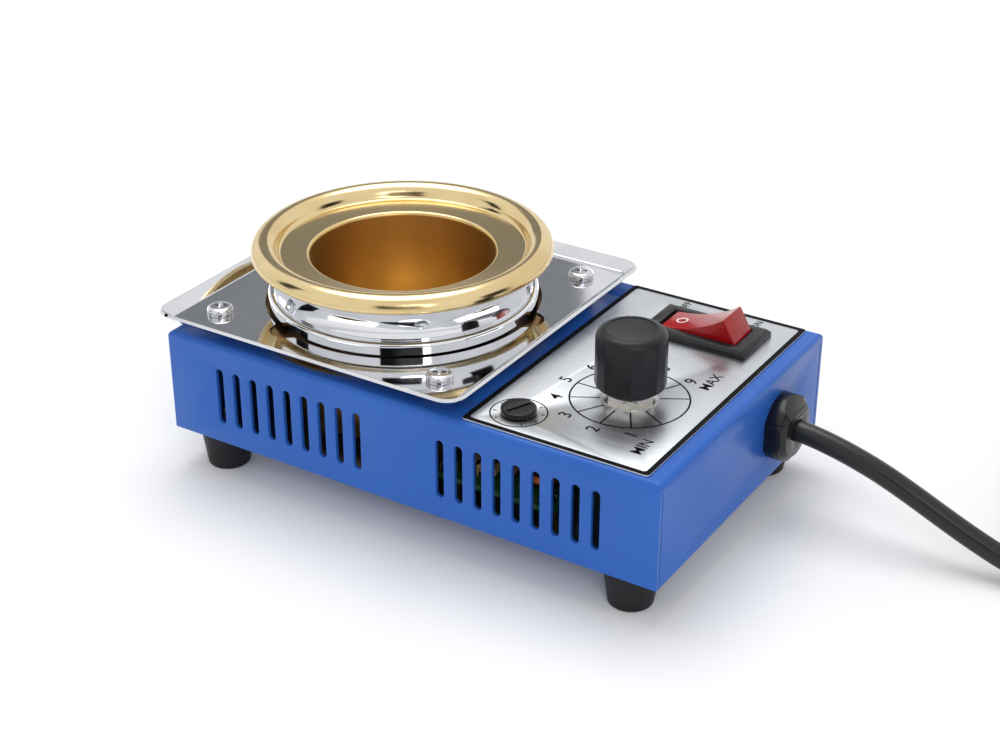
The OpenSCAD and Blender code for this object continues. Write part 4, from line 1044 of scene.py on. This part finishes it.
# ---- Temperature control ----
# A potentiometer hangs under the panel by its nut and washer. Its knob is moulded in black
# with sixteen flats, a rounded top edge and a tapered foot, and turns with the shaft.
nickel = finish(
    "nickel_plate", colour(216, 214, 208), colour(196, 194, 188), 0.2, 2400.0, 0.004, Metallic=1.0,
)
can_metal = finish("can_metal", colour(170, 172, 176), colour(146, 148, 152), 0.35, 900.0, 0.01, Metallic=1.0)
dress(nickel, "potentiometer_shaft", "potentiometer_washer", "potentiometer_nut")
dress(can_metal, "potentiometer_body")
knob_moulding = finish(
    "knob_moulding", colour(14, 16, 19), colour(22, 24, 28), 0.36, 2600.0, 0.02, Specular_IOR_Level=0.3,
)
knob = softened("flatted_knob", 0.3, "control_knob", angle=14, segments=3)
dress(knob_moulding, knob)
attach(knob, "knob")


# ---- Rocker switch ----
# A black moulded housing snaps into the panel. The red rocker is a tinted plastic with
# a polished hollow top, and carries a white ring at its off end.
switch_moulding = finish(
    "switch_moulding", colour(22, 24, 27), colour(31, 33, 36), 0.34, 2400.0, 0.015, Specular_IOR_Level=0.3,
)
tinned = finish(
    "tinned_brass", colour(206, 204, 192), colour(186, 182, 166), 0.28, 1600.0, 0.006, Metallic=1.0,
)
rocker_red = finish(
    "rocker_red", colour(168, 10, 16), colour(140, 4, 10), 0.14, 500.0, 0.004,
    Subsurface_Weight=0.2, Subsurface_Radius=(0.004, 0.0006, 0.0004), Specular_IOR_Level=0.5,
)
housing = softened("switch_bezel", 0.25, "switch_housing")
dress(switch_moulding, housing)
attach(housing, "pot")
dress(tinned, "switch_terminals")
rocker = softened("red_rocker", 0.35, "switch_rocker", segments=3)
dress(rocker_red, rocker)
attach(rocker, "rocker")

pivot_z = face_z / mm + 0.7
tip, tip_h, sag = 10.3, 5.0, 1.6
hollow_r = (tip**2 + sag**2) / (2 * sag)
pivot = Matrix.Translation((switch_at.x, switch_at.y, pivot_z * mm))
tilt = pivot @ Matrix.Rotation(math.radians(-19), 4, "Y")


def on_hollow(x, y, lift):
    """A point on the rocker's hollow top."""
    z = tip_h - sag + hollow_r - math.sqrt(hollow_r**2 - x * x)
    return tilt @ (Vector((x, y, z + lift)) * mm)


mark_steps = 48
mark_x, mark_outer, mark_inner = -6.3, 1.75, 1.25
points, faces = [], []
for lift in (-0.05, 0.03):
    for r in (mark_outer, mark_inner):
        for k in range(mark_steps):
            a = 2 * math.pi * k / mark_steps
            points.append(on_hollow(mark_x + r * math.cos(a), r * math.sin(a), lift))
for k in range(mark_steps):
    m, n = (k + 1) % mark_steps, mark_steps
    faces += [(k, m, n + m, n + k), (2 * n + k, 3 * n + k, 3 * n + m, 2 * n + m)]
    faces += [(k, 2 * n + k, 2 * n + m, m), (n + k, n + m, 3 * n + m, 3 * n + k)]
off_mark = outward(mesh_piece("rocker_off_ring", points, faces))
mark_white = finish("mark_white", colour(240, 238, 236), colour(228, 226, 224), 0.4, 3000.0, 0.004)
dress(mark_white, off_mark)
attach(off_mark, "rocker")


# ---- Calibration trimmer ----
# A blue trimmer hangs under the case's top. Its black slotted disc is above the panel, with a
# bright blade of its spindle in the bottom of the slot.
trimmer_disc = finish(
    "trimmer_disc", colour(11, 11, 13), colour(19, 19, 22), 0.3, 2600.0, 0.01, Specular_IOR_Level=0.3,
)
trimmer_blue = finish("trimmer_blue", colour(38, 76, 150), colour(30, 64, 132), 0.35, 2200.0, 0.01)
rotor = softened("slotted_disc", 0.15, "trimmer_rotor")
dress(trimmer_disc, rotor)
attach(rotor, "trimmer")
dress(trimmer_blue, "trimmer_body")
low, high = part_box("trimmer_rotor")
slot_turn = math.radians(67)
slot_depth, blade_l, blade_w, blade_h = 0.8, 3.5, 0.42, 0.14
blade = recess_bar(slot_turn, blade_l, blade_w, 0, blade_h)
blade.name = blade.data.name = "slot_blade"
blade.data.transform(Matrix.Translation((trimmer_at.x, trimmer_at.y, high.z - slot_depth * mm)))
dress(nickel, blade)
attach(blade, "trimmer")


# ---- Strain relief ----
# Two halves moulded in black nylon grip the cord in the end wall. The upper half slopes to
# the split line.
relief_nylon = finish(
    "relief_nylon", colour(13, 13, 15), colour(22, 22, 25), 0.26, 1800.0, 0.02, Specular_IOR_Level=0.4,
)
for half_name in ("lower", "upper"):
    half = softened(f"relief_{half_name}_half", 1.2, f"strain_relief_{half_name}")
    dress(relief_nylon, half)
    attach(half, "pot")
